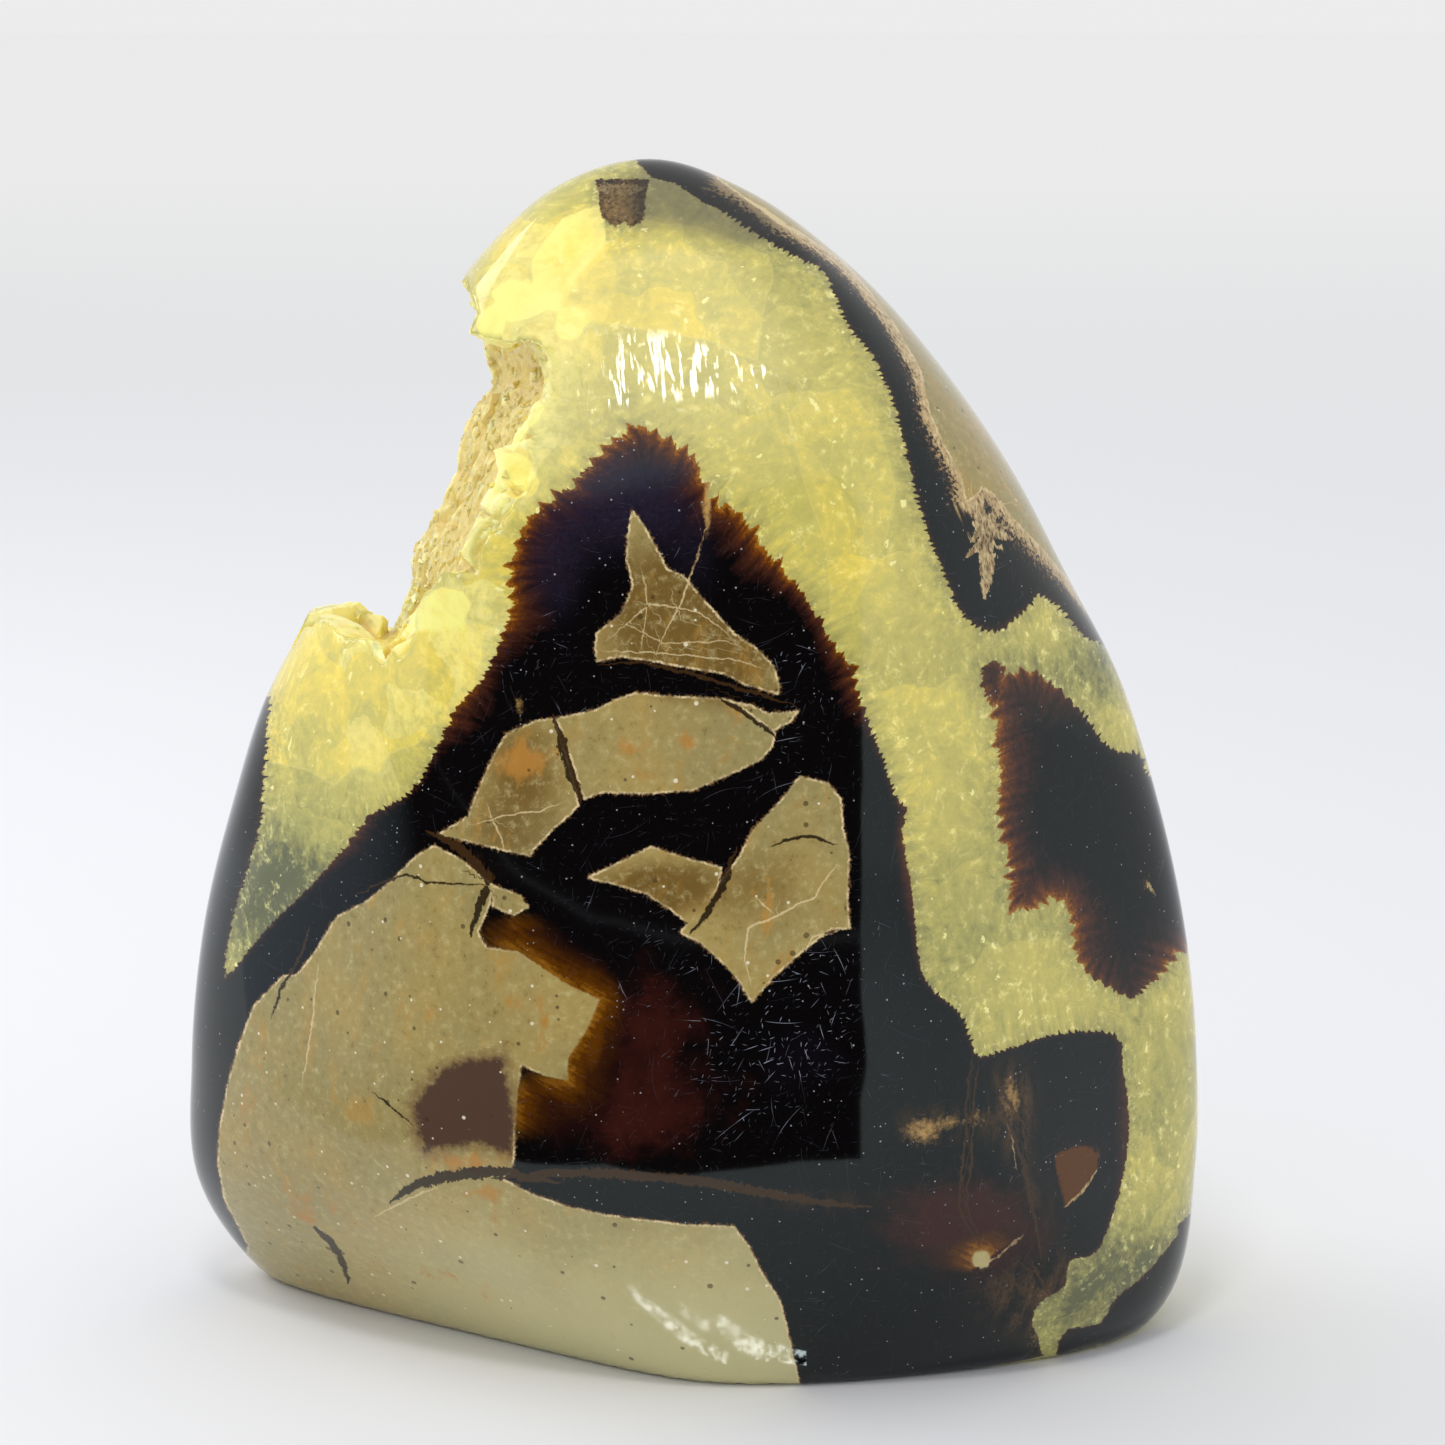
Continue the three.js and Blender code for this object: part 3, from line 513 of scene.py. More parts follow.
tintNames = ("paintedLightAndShade", "amber", "red", "gold", "rust", "comb", "violetSheen", "fringe", "brown", "woody", "fur",
             "worn", "greyShadeAndVeil", "blunt")
patternLook = {
    "hiddenStart": 0.08,     # facing of the surface towards the front eye where the back begins to mix in
    "hiddenEnd": -0.5,
    "warp": 3.2,             # how far the hidden sides' pattern wanders, and over what size
    "warpSize": 13,
    "smoothing": 3,          # points on each span of an organic outline
    "rimSpacing": 300,       # keeps the ways round different rims apart
    "lineTaper": 0.15,       # a drawn line's width at its ends, as a share
    "swap": 0.2,             # lines are left out this near the place where one sheet takes over
}


def roundedOutline(points, count):
    # closed smooth curve through the points
    p = np.array(points, float)
    before, after, later = np.roll(p, 1, axis=0), np.roll(p, -1, axis=0), np.roll(p, -2, axis=0)
    spans = []
    for t in np.arange(count) / count:
        spans.append(0.5 * (2 * p + (after - before) * t + (2 * before - 5 * p + 4 * after - later) * t ** 2
                            + (3 * p - before - 3 * after + later) * t ** 3))
    return np.stack(spans, axis=1).reshape(-1, 2)


def nearestOnSegment(spots, start, end):
    run = end - start
    share = np.clip(((spots - start) @ run) / (run @ run), 0, 1)
    foot = start + share[:, None] * run
    gap = spots - foot
    return np.hypot(gap[:, 0], gap[:, 1]), foot, share


def outlineDepth(spots, outline):
    # signed distance, below zero inside, the nearest point of the outline and its way round
    best = np.full(len(spots), 1e3)
    foot = np.zeros((len(spots), 2))
    around = np.zeros(len(spots))
    inside = np.zeros(len(spots), bool)
    x, z = spots.T
    passed = 0.0
    for start, end in zip(outline, np.roll(outline, -1, axis=0)):
        away, near, share = nearestOnSegment(spots, start, end)
        closer = away < best
        best[closer] = away[closer]
        foot[closer] = near[closer]
        length = np.hypot(*(end - start))
        around[closer] = passed + share[closer] * length
        passed += length
        if start[1] != end[1]:
            crossing = (end[0] - start[0]) * (z - start[1]) / (end[1] - start[1]) + start[0]
            inside ^= ((start[1] > z) != (end[1] > z)) & (x < crossing)
    return np.where(inside, -best, best), foot, around


def nearestOutline(spots, outlines):
    # the outline that the spot lies deepest in, or nearest to: depth, foot, way round and number
    results = [outlineDepth(spots, np.array(outline, float)) for outline in outlines]
    depths, feet, ways = (np.stack(values) for values in zip(*results))
    pick = depths.argmin(axis=0)
    rows = np.arange(len(spots))
    return depths[pick, rows], feet[pick, rows], ways[pick, rows], pick


def nearestLine(spots, lines):
    # signed distance to the nearest line, its plain distance, and the line's half width there
    best = np.full(len(spots), 1e3)
    signed = np.full(len(spots), 1e3)
    width = np.zeros(len(spots))
    for halfWidth, points in lines.values():
        line = np.array(points, float)
        runs = np.linalg.norm(np.diff(line, axis=0), axis=1)
        passed = np.concatenate([[0], np.cumsum(runs)])
        for i, (start, end) in enumerate(zip(line[:-1], line[1:])):
            away, _, share = nearestOnSegment(spots, start, end)
            run, gap = end - start, spots - start
            side = np.sign(run[0] * gap[:, 1] - run[1] * gap[:, 0])
            along = (passed[i] + share * runs[i]) / passed[-1]
            closer = away < best
            best[closer] = away[closer]
            signed[closer] = (away * side)[closer]
            taper = np.minimum(1, 4 * along * (1 - along) + patternLook["lineTaper"])
            width[closer] = (halfWidth * taper)[closer]
            beyond = closer & ((along <= 0) | (along >= 1))
            width[beyond] = 0
    return np.stack([signed, best, width], axis=1)


def softSpots(spots, listed):
    total = np.zeros(len(spots))
    for x, z, halfWidth, halfHeight, strength in listed:
        away = ((spots[:, 0] - x) / halfWidth) ** 2 + ((spots[:, 1] - z) / halfHeight) ** 2
        total += strength * np.exp(-0.9 * away)
    return total


def readSheet(points, sheet):
    # what the sheet shows where its eye sees each point
    eye = np.array(sheet["eye"], float)
    share = (sheet["y"] - eye[1]) / (points[:, 1] - eye[1])
    hit = eye + (points - eye) * share[:, None]
    spots = hit[:, [0, 2]]
    smooth = patternLook["smoothing"]
    rim, rimFoot, rimWay, rimPick = nearestOutline(
        spots, [roundedOutline(o, smooth) for o in sheet["rims"].values()])
    block, blockFoot, _, _ = nearestOutline(spots, sheet["blocks"].values())
    stain = nearestOutline(spots, sheet["stains"].values())[0]
    pane = nearestOutline(spots, sheet["panes"])[0]
    plate, _, _, platePick = nearestOutline(spots, [outline for _, outline in sheet["plates"]])
    spread = lambda foot: np.stack([foot[:, 0], np.zeros(len(foot)), foot[:, 1]], axis=1)
    flat = spread(spots)
    read = {
        "rim": rim, "block": block, "stain": stain, "pane": pane, "plate": plate,
        "rimWay": rimWay + patternLook["rimSpacing"] * rimPick,
        "plateShine": np.array([shine for shine, _ in sheet["plates"]])[platePick],
        "rimPull": spread(rimFoot) - flat, "blockPull": spread(blockFoot) - flat,
        "cracks": nearestLine(spots, sheet["cracks"]), "veins": nearestLine(spots, sheet["veins"]),
    }
    for tint in tintNames:
        read[tint] = softSpots(spots, sheet[tint])
    return read


def mixed(a, b, share):
    share = share[:, None] if a.ndim == 2 else share
    return a * (1 - share) + b * share


def readPattern(points, normals):
    toEye = np.array(frontSheet["eye"], float) - points
    toEye /= np.linalg.norm(toEye, axis=1)[:, None]
    hidden = easeStep((normals * toEye).sum(axis=1), patternLook["hiddenStart"], patternLook["hiddenEnd"])
    sway = np.stack([smoothNoise(points, patternLook["warpSize"], 20 + k) for k in range(3)], axis=1)
    moved = points + sway * patternLook["warp"] * hidden[:, None]
    sheets = []
    for sheet, needed in ((frontSheet, hidden < 1), (backSheet, hidden > 0)):
        read = {}
        for key, values in readSheet(moved[needed], sheet).items():
            read[key] = np.zeros((len(points),) + values.shape[1:])
            read[key][needed] = values
        sheets.append(read)
    front, back = sheets
    pattern = {key: mixed(front[key], back[key], hidden) for key in front}
    for lines in ("cracks", "veins"):       # lines don't mix: each point takes one sheet's
        pattern[lines] = np.where((hidden > 0.5)[:, None], back[lines], front[lines])
        pattern[lines][np.abs(hidden - 0.5) < patternLook["swap"], 2] = 0
    return pattern, hidden


def nearestSeam(points, normals):
    pattern, hidden = readPattern(points, normals)
    near = np.minimum(np.abs(pattern["rim"]), np.abs(pattern["block"]))
    near = np.minimum(near, np.abs(pattern["stain"]))
    return np.minimum(near, np.minimum(pattern["cracks"][:, 1], pattern["veins"][:, 1])), hidden


# meshes

def meshArrays(mesh):
    spots = np.empty(len(mesh.vertices) * 3)
    mesh.vertices.foreach_get("co", spots)
    return spots.reshape(-1, 3) / mm


def makeObject(name, mesh):
    made = bpy.data.objects.new(name, mesh)
    bpy.context.scene.collection.objects.link(made)
    return made


def meshFromGrid(name, loops):
    # loops of equal length joined side by side and closed at both ends
    count, around, _ = loops.shape
    quads = []
    for i in range(count - 1):
        for j in range(around):
            k = (j + 1) % around
            quads.append((i * around + j, i * around + k, (i + 1) * around + k, (i + 1) * around + j))
    ends = [tuple(range(around))[::-1], tuple(range((count - 1) * around, count * around))]
    mesh = bpy.data.meshes.new(name)
    mesh.from_pydata(loops.reshape(-1, 3) * mm, [], quads + ends)
    work = bmesh.new()
    work.from_mesh(mesh)
    bmesh.ops.triangulate(work, faces=work.faces)
    bmesh.ops.recalc_face_normals(work, faces=work.faces)
    work.to_mesh(mesh)
    work.free()
    return mesh


def refineNear(work, bands):
    # halves the edges that lie near a boundary of the pattern
    directions = np.array([v.co for v in work.verts])
    directions /= np.linalg.norm(directions, axis=1)[:, None]
    points = onStone(directions)
    seam, hidden = nearestSeam(points, stoneNormals(points))
    near = seam < np.where(hidden > 0.5, bands[1], bands[0])
    work.edges.ensure_lookup_table()
    chosen = [e for e in work.edges if near[e.verts[0].index] and near[e.verts[1].index]]
    bmesh.ops.subdivide_edges(work, edges=chosen, cuts=1, use_grid_fill=True)
    bmesh.ops.triangulate(work, faces=[f for f in work.faces if len(f.verts) > 3])
    work.verts.index_update()


def makeWholeStone(name, seamBands, inset):
    work = bmesh.new()
    bmesh.ops.create_icosphere(work, subdivisions=stoneForm["sphereCuts"], radius=1)
    for bands in seamBands:
        refineNear(work, bands)
    directions = np.array([v.co for v in work.verts])
    directions /= np.linalg.norm(directions, axis=1)[:, None]
    points = onStone(directions)
    points -= stoneNormals(points) * inset
    for vertex, point in zip(work.verts, points * mm):
        vertex.co = point
    mesh = bpy.data.meshes.new(name)
    work.to_mesh(mesh)
    work.free()
    print(name, len(mesh.polygons), "triangles")
    return makeObject(name, mesh)


# the hollow in the upper left side

hollowForm = {
    "sections": [            # y, then x and z from the head down to the outside
        (-21, [(-26, 98.5), (-19.4, 94), (-15.6, 92.6), (-12.6, 91.4), (-10.8, 89.4), (-9.6, 86.8),
               (-9.4, 83.6), (-9.8, 80.8), (-10.8, 77.6), (-14, 74.6), (-16.6, 71.6), (-18, 69.2),
               (-21.6, 67.4), (-25.4, 60.6), (-29.4, 58.8), (-34, 58.4)]),
        (-15, [(-26, 98.5), (-20, 93.6), (-17.2, 90.2), (-14.8, 88.6), (-12, 88.8), (-10.6, 86.8),
               (-11.2, 84), (-13, 81.4), (-14.4, 78.4), (-16.4, 75), (-17.8, 71.6), (-18.8, 68.4),
               (-20.2, 65.2), (-24.5, 60.8), (-29, 61.4), (-35, 60)]),
        (3, [(-26, 98.5), (-20.2, 94), (-18.6, 90.6), (-17.8, 88.2), (-18, 85.8), (-17.6, 84), (-17.8, 82.3),
             (-19.2, 80), (-20, 77.2), (-20.9, 73.6), (-22.4, 70.7), (-24.3, 67.6), (-24.4, 64),
             (-26.5, 60.2), (-30.6, 61.8), (-35, 60.6)]),
        (26, [(-24, 99), (-18, 94), (-15.5, 91.6), (-14, 89.4), (-13.2, 87), (-13, 84.8), (-13.8, 82),
              (-15.5, 78.8), (-17.3, 75.6), (-18.8, 72.4), (-20.2, 69.2), (-21.4, 65.6), (-23, 61),
              (-26, 56.2), (-30, 57.2), (-36, 57)]),
    ],
    "mouth": -52,
    "middle": (-40, 0, 78),
    "ends": (-30, 30),
    "crustThickness": 1.5,
    "lipWidth": 0.12,        # how much of the polished lip belongs to the crust
    "tanWall": {         # where fine tan crystals line the recessed wall, their tan partly painted shade: depth, and height from foot to head
        "depth": (1.7, 4.6), "foot": (62, 67.5), "head": (91, 85.5),
        "sway": (1.2, 3.2), "swayNoise": (7, 91, 2)},
    "fineGrid": (250, 250),
    "roughGrid": (120, 120),     # for the cut that the crust hides
    "plainGrid": (60, 50),
    # crystal size, height at the lip and floor, height in the tan wall, steepness, seed
    "lumps": [(4.2, 1.35, 0.9, 2.2, 61), (1.9, 0.6, 0.5, 1.8, 71), (0.8, 0.16, 0.18, 1.4, 81)],
    "sunk": 0.75,
    "tipTop": (0.7, 0.9),        # height of a crystal's top and its slant, in crystal sizes
    "blockTop": (0.62, 0.9), "blockSteep": 2.2, "blockBed": 0.5,
    "blocks": [         # single large crystals: middle, reach and three turns
        ((-30.6, -8, 61.8), 3.0, (0.12, 0.56, 0.3)), ((-27.6, -12, 60.8), 2.4, (0.45, 0.2, 0.1)),
        ((-32, 0, 62.2), 2.4, (0.6, 0.35, 0.2)), ((-29, 2, 60.8), 2, (0.8, 0.15, 0.5)),
        ((-33, -5, 61), 2.2, (0.3, 0.5, 0.1)), ((-22, -17, 67), 1.8, (0.1, 0.2, 0.4)),
        ((-20.6, -18, 66.6), 2.8, (0.32, 0.4, 0.75)), ((-23.2, -17.6, 65), 2.4, (0.2, 0.7, 0.9)),
        ((-19.4, -19, 68), 2.0, (0.15, 0.35, 0.85)), ((-24.6, -15, 62.2), 2, (0.5, 0.3, 0.4)),
        ((-16.2, -11, 89.6), 2.2, (0.15, 0.85, 0.4)), ((-13.4, -15, 89), 2.2, (0.7, 0.3, 0.65)),
        ((-10.6, -18, 87.6), 1.8, (0.35, 0.1, 0.25)), ((-12, -17, 82.6), 2, (0.5, 0.05, 0.35)),
        ((-14.2, -17, 78), 2.2, (0.05, 0.9, 0.6)), ((-16, -17, 75.2), 1.8, (0.65, 0.75, 0.15)),
        ((-17.4, -17, 71.8), 2, (0.4, 0.25, 0.55))],
}


def sectionCurve(points, shares):
    # smooth open curve through the points
    p = np.array(points, float)
    p = np.vstack([2 * p[0] - p[1], p, 2 * p[-1] - p[-2]])
    place = shares * (len(points) - 1)
    i = np.minimum(place.astype(int), len(points) - 2)
    t = (place - i)[:, None]
    a, b, c, d = p[i], p[i + 1], p[i + 2], p[i + 3]
    return 0.5 * (2 * b + (c - a) * t + (2 * a - 5 * b + 4 * c - d) * t ** 2
                  + (3 * b - a - 3 * c + d) * t ** 3)


def hollowWall(grow, grid, lumpy):
    # the hollow's wall, moved into the stone by a distance, with the mouth far outside
    alongCount, deepCount = grid
    shares = np.linspace(0, 1, alongCount)
    curves = [(y, sectionCurve(points, shares)) for y, points in hollowForm["sections"]]
    lines = []
    for y in np.linspace(*hollowForm["ends"], deepCount):
        i = next((k for k in range(len(curves) - 2) if y < curves[k + 1][0]), len(curves) - 2)
        lower, upper = curves[i], curves[i + 1]
        share = (y - lower[0]) / (upper[0] - lower[0])
        line = lower[1] * (1 - share) + upper[1] * share
        lines.append(np.stack([line[:, 0], np.full(alongCount, y), line[:, 1]], axis=1))
    wall = np.stack(lines)
    run = np.gradient(wall, axis=1)
    run /= np.linalg.norm(run, axis=2)[:, :, None]
    outward = np.stack([run[:, :, 2], np.zeros(run.shape[:2]), -run[:, :, 0]], axis=2)
    raised = crystalLumps(wall.reshape(-1, 3)).reshape(wall.shape[:2]) if lumpy else 0
    wall = wall + outward * (raised - grow)[..., None] if lumpy else wall - outward * grow
    corners = np.zeros((deepCount, 2, 3))
    corners[:, :, 0] = hollowForm["mouth"]
    corners[:, :, 1] = wall[:, :1, 1]
    corners[:, 0, 2] = wall[:, -1, 2]
    corners[:, 1, 2] = wall[:, 0, 2]
    return np.concatenate([wall, corners], axis=1)


def tanShare(points, depth):
    wall = hollowForm["tanWall"]
    sway = cloudNoise(points, *wall["swayNoise"])
    height = points[:, 2] + wall["sway"][1] * sway
    return (easeStep(depth + wall["sway"][0] * sway, *wall["depth"]) * easeStep(height, *wall["foot"])
            * easeStep(height, *wall["head"]))


def crystalLumps(points):
    # how far the crystals stand out of the wall
    tan = tanShare(points, -stoneField(points))
    raised = np.full(len(points), -float(hollowForm["sunk"]))
    for size, height, tanHeight, steep, seed in hollowForm["lumps"]:
        raised += (height * (1 - tan) + tanHeight * tan) * crystalTips(points, size, steep, seed)
    for middle, reach, turns in hollowForm["blocks"]:
        gap = points - np.array(middle, float)
        flank = (reach - cubeDistance(gap, turns)) * hollowForm["blockSteep"]
        tall, slant = hollowForm["blockTop"]
        top = reach * tall + gap @ (np.array(turns) - 0.5) * slant
        raised = np.maximum(raised, raised * hollowForm["blockBed"] + np.minimum(flank, top))
    return raised


def makeHollow(name, grow, grid, lumpy):
    return makeObject(name, meshFromGrid(name, hollowWall(grow, grid, lumpy)))


def cutMesh(base, tool, operation):
    modifier = base.modifiers.new("cut", "BOOLEAN")
    modifier.operation = operation
    modifier.solver = "MANIFOLD"
    modifier.object = tool
    graph = bpy.context.evaluated_depsgraph_get()
    result = bpy.data.meshes.new_from_object(base.evaluated_get(graph))
    base.modifiers.remove(modifier)
    work = bmesh.new()
    work.from_mesh(result)
    bmesh.ops.triangulate(work, faces=[f for f in work.faces if len(f.verts) > 3])
    work.to_mesh(result)
    work.free()
    return result


# colour data on the surface, read by the stone's material

surfaceData = {     # the surface's attributes and what each of their three numbers holds
    "edges": ("block", "rim", "stain"),
    "panels": ("plate", "plateShine", "pane"),
    "tints": ("amber", "red", "gold"),
    "spots": ("rust", "paintedLightAndShade", "comb"),
    "shades": ("violetSheen", "fringe", "brown"),
    "growth": ("woody", "fur", "worn"),
    "ways": ("rimWay", "greyShadeAndVeil", "blunt"),
}
skin = {        # depths are below the ground form, in millimetres
    "clouds": ((15, 101, 3), (6, 111, 3), (9, 121, 4)),      # size, seed, levels of detail
    "sway": ((3.4, 131, 2), (3.4, 132, 2), (3.4, 133, 2)),
    "broken": (0.03, 0.25),      # depth at which the polish gives way to broken crystal
    "plain": 0.02,               # deeper than this there is calcite only
    "far": 9,                    # distance that stands for none of a colour near by
    "fromRim": 3,
    "smooth": 0.03,              # faces above this depth are shaded smooth
    "open": (0.3, 0.6),          # depth from which small crystals grow
    "openLeast": 0.2,            # their share outside the tan wall
    "sideways": 0.2,             # how much the way to the hollow's middle counts along the hollow
    "lip": (0.05, 0.8),          # depths between which the broken edge lies
    "lipSearched": 60,           # reach round the hollow's middle in which the lip's distance is measured
    "lipFar": 20,                # and the distance that all other points get
    "calmRounds": 14,            # rounds of averaging that give the calm surface under the crystals
}


def putVector(mesh, name, columns):
    values = np.stack(list(columns), axis=1)
    attribute = mesh.attributes.new(name, "FLOAT_VECTOR", "POINT")
    attribute.data.foreach_set("vector", values.astype(np.float32).ravel())


def lipDistance(points, depth):
    # how far each point of the polish lies from the broken edge
    polish = depth <= skin["lip"][0]
    edge = np.flatnonzero(~polish & (depth < skin["lip"][1]))
    tree = KDTree(len(edge))
    for i in edge:
        tree.insert(points[i], int(i))
    tree.balance()
    away = np.zeros(len(points))
    toMiddle = np.linalg.norm(points - np.array(hollowForm["middle"], float), axis=1)
    for i in np.flatnonzero(polish & (toMiddle < skin["lipSearched"])):
        away[i] = tree.find(points[i])[2]
    away[polish & (away == 0)] = skin["lipFar"]
    return away


def crystalRelief(mesh, points, normals):
    # how far each point stands out of its surroundings, in millimetres
    ends = np.empty(len(mesh.edges) * 2, dtype=np.int32)
    mesh.edges.foreach_get("vertices", ends)
    a, b = ends.reshape(-1, 2).T
    joined = np.concatenate([a, b]), np.concatenate([b, a])
    met = np.maximum(np.bincount(joined[0], minlength=len(points)), 1)
    calm = points
    for _ in range(skin["calmRounds"]):
        sums = [np.bincount(joined[0], calm[joined[1], k], len(points)) for k in range(3)]
        calm = np.stack(sums, axis=1) / met[:, None]
    return ((points - calm) * normals).sum(axis=1)


def paintSurface(mesh):
    points = meshArrays(mesh)
    depth = -stoneField(points)
    normals = stoneNormals(points)
    pattern, _ = readPattern(points, normals)
    broken = easeStep(depth, *skin["broken"])
    shadedDruse = tanShare(points, depth) * broken
    deep = depth > skin["plain"]
    pattern["rim"] = np.where(deep, np.maximum(pattern["rim"], skin["fromRim"] * broken), pattern["rim"])
    for key in ("block", "stain", "pane"):
        pattern[key] = np.where(deep, skin["far"], pattern[key])
    for name, keys in surfaceData.items():
        putVector(mesh, name, [pattern[key] for key in keys])
    putVector(mesh, "rimFoot", (points + pattern["rimPull"]).T)
    putVector(mesh, "blockFoot", (points + pattern["blockPull"]).T)
    for lines in ("cracks", "veins"):
        putVector(mesh, lines, pattern[lines].T)
    for name in ("clouds", "sway"):
        putVector(mesh, name, [cloudNoise(points, *sizes) for sizes in skin[name]])
    toMiddle = np.array(hollowForm["middle"], float) - points
    toMiddle[:, 1] *= skin["sideways"]
    own = np.empty(len(mesh.vertices) * 3)
    mesh.vertex_normals.foreach_get("vector", own)
    own = own.reshape(-1, 3)
    facing = (own * toMiddle).sum(axis=1) > 0
    least = skin["openLeast"]
    grown = facing * easeStep(depth, *skin["open"]) * (least + (1 - least) * shadedDruse)
    putVector(mesh, "finish", [broken, shadedDruse, grown])
    relief = crystalRelief(mesh, points, own) * broken
    putVector(mesh, "lip", [lipDistance(points, depth), relief, np.zeros(len(points))])
    corners = np.empty(len(mesh.polygons) * 3, dtype=np.int32)
    mesh.loops.foreach_get("vertex_index", corners)
    smooth = depth[corners.reshape(-1, 3)].mean(axis=1) < skin["smooth"]
    mesh.polygons.foreach_set("use_smooth", smooth)
    mesh.update()


# colours and finishes

def paint(red, green, blue):
    # screen colour, 0 to 255, as Blender's linear colour
    linear = [((c / 255 + 0.055) / 1.055) ** 2.4 if c > 10 else c / 255 / 12.92 for c in (red, green, blue)]
    return (*linear, 1)


def node(tree, kind, inputs=None, **settings):
    made = tree.nodes.new(kind)
    for key, value in settings.items():
        setattr(made, key, value)
    for key, value in (inputs or {}).items():
        if isinstance(value, bpy.types.NodeSocket):
            tree.links.new(value, made.inputs[key])
        else:
            made.inputs[key].default_value = value
    return made


def calc(tree, operation, a, b=0.0, c=0.0):
    return node(tree, "ShaderNodeMath", {0: a, 1: b, 2: c}, operation=operation).outputs[0]


def chain(tree, operation, first, *others):
    for other in others:
        first = calc(tree, operation, first, other)
    return first


def scaled(tree, value, factor, offset):
    return calc(tree, "MULTIPLY_ADD", value, factor, offset)


def product(tree, *values):
    return chain(tree, "MULTIPLY", *values)


def total(tree, *values):
    return chain(tree, "ADD", *values)


def largest(tree, *values):
    return chain(tree, "MAXIMUM", *values)


def centred(tree, value, swing):
    # a value from 0 to 1 as a swing to both sides of zero
    return scaled(tree, value, 2 * swing, -swing)


def move(tree, operation, a, b=(0, 0, 0)):
    return node(tree, "ShaderNodeVectorMath", {0: a, 1: b}, operation=operation).outputs[0]


def stretch(tree, vector, factor):
    return node(tree, "ShaderNodeVectorMath", {0: vector, "Scale": factor}, operation="SCALE").outputs[0]


def fade(tree, value, start, end, low=0.0, high=1.0):
    inputs = {"Value": value, "From Min": start, "From Max": end, "To Min": low, "To Max": high}
    return node(tree, "ShaderNodeMapRange", inputs, interpolation_type="SMOOTHSTEP").outputs[0]


def blend(tree, share, a, b):
    return node(tree, "ShaderNodeMix", {0: share, 6: a, 7: b}, data_type="RGBA").outputs[2]


def noise(tree, vector, scale, detail=2.0, roughness=0.5):
    inputs = {"Vector": vector, "Scale": scale, "Detail": detail, "Roughness": roughness}
    return node(tree, "ShaderNodeTexNoise", inputs).outputs[0]


def ownValues(tree, cells):
    # three random values of the cell that a spot is in
    return node(tree, "ShaderNodeSeparateColor", {0: cells["Color"]}).outputs


def grains(tree, vector, scale, distance="EUCLIDEAN"):
    # distance to the nearest grain, and that grain's own values
    cells = node(tree, "ShaderNodeTexVoronoi", {"Vector": vector, "Scale": scale}, distance=distance).outputs
    return cells["Distance"], ownValues(tree, cells)


def ramp(tree, value, stops):
    made = node(tree, "ShaderNodeValToRGB", {0: value})
    band = made.color_ramp
    while len(band.elements) < len(stops):
        band.elements.new(0.5)
    for element, (place, colour) in zip(band.elements, stops):
        element.position = place
        element.color = colour
    return made.outputs[0]


def readVector(tree, name):
    return node(tree, "ShaderNodeAttribute", attribute_name=name).outputs["Vector"]


def threeParts(tree, vector):
    return node(tree, "ShaderNodeSeparateXYZ", {0: vector}).outputs[:3]


def readThree(tree, name):
    return threeParts(tree, readVector(tree, name))


def setValues(surface, values):
    for key, value in values.items():
        surface.inputs[key].default_value = value


def newMaterial(name):
    material = bpy.data.materials.new(name)
    material.use_nodes = True
    tree = material.node_tree
    tree.nodes.clear()
    surface = node(tree, "ShaderNodeBsdfPrincipled")
    output = node(tree, "ShaderNodeOutputMaterial")
    tree.links.new(surface.outputs[0], output.inputs[0])
    spot = stretch(tree, node(tree, "ShaderNodeTexCoord").outputs["Object"], 1 / mm)
    return material, tree, surface, spot


def scatteredDots(tree, spot, perMillimetre, widest, kept):
    # specks of mixed sizes, most of them small, in part of the cells only
    away, values = grains(tree, spot, perMillimetre)
    size = product(tree, values[0], values[0], values[0], widest)
    edge = calc(tree, "SUBTRACT", away, size)
    return product(tree, fade(tree, edge, 0.03, -0.02), fade(tree, values[1], 1 - kept, 1.02 - kept))


def alongGrain(tree, spot, degrees, sizes):
    # coordinates turned about the front axis, then drawn out to the given sizes in millimetres
    inputs = {"Vector": spot, "Rotation": (0, math.radians(degrees), 0), "Scale": sizes}
    return node(tree, "ShaderNodeMapping", inputs, vector_type="TEXTURE").outputs[0]


def hairlines(tree, spot, perMillimetre, length, kept, shift):
    # fine short scratches, each turned its own way and slightly bent
    moved = move(tree, "ADD", spot, (shift, 0, shift))
    cells = node(tree, "ShaderNodeTexVoronoi", {"Vector": moved, "Scale": perMillimetre}).outputs
    own = ownValues(tree, cells)
    turned = node(tree, "ShaderNodeVectorRotate", {
        "Vector": move(tree, "SUBTRACT", moved, cells["Position"]), "Axis": (0, 1, 0),
        "Angle": scaled(tree, own[0], 2.6, -0.5)}, rotation_type="AXIS_ANGLE").outputs[0]
    along, _, across = threeParts(tree, turned)
    bend = product(tree, along, along, centred(tree, own[1], 0.1))
    line = fade(tree, calc(tree, "ABSOLUTE", total(tree, across, bend)), 0.036, 0.0)
    ends = fade(tree, calc(tree, "ABSOLUTE", along), length, length * 0.2)
    return product(tree, line, ends, fade(tree, own[2], 1 - kept, 1.0))


calciteLook = {
    "dull": paint(104, 108, 76), "olive": paint(172, 168, 100), "plain": paint(208, 198, 112),
    "sunny": paint(244, 222, 104), "bright": paint(255, 242, 126),
    "paleAndGlint": paint(255, 249, 174), "haze": paint(120, 118, 84), "shadedDruse": paint(216, 190, 100),
    "greyShadeAndVeil": paint(114, 108, 84), "creviceShade": paint(212, 174, 80),
    "plates": 0.15, "chips": 0.55,      # grains per millimetre
    # painted shade: how much each plate lightens towards one side
    "plateShadeSlope": (0.01, 0.0, 0.016),
}


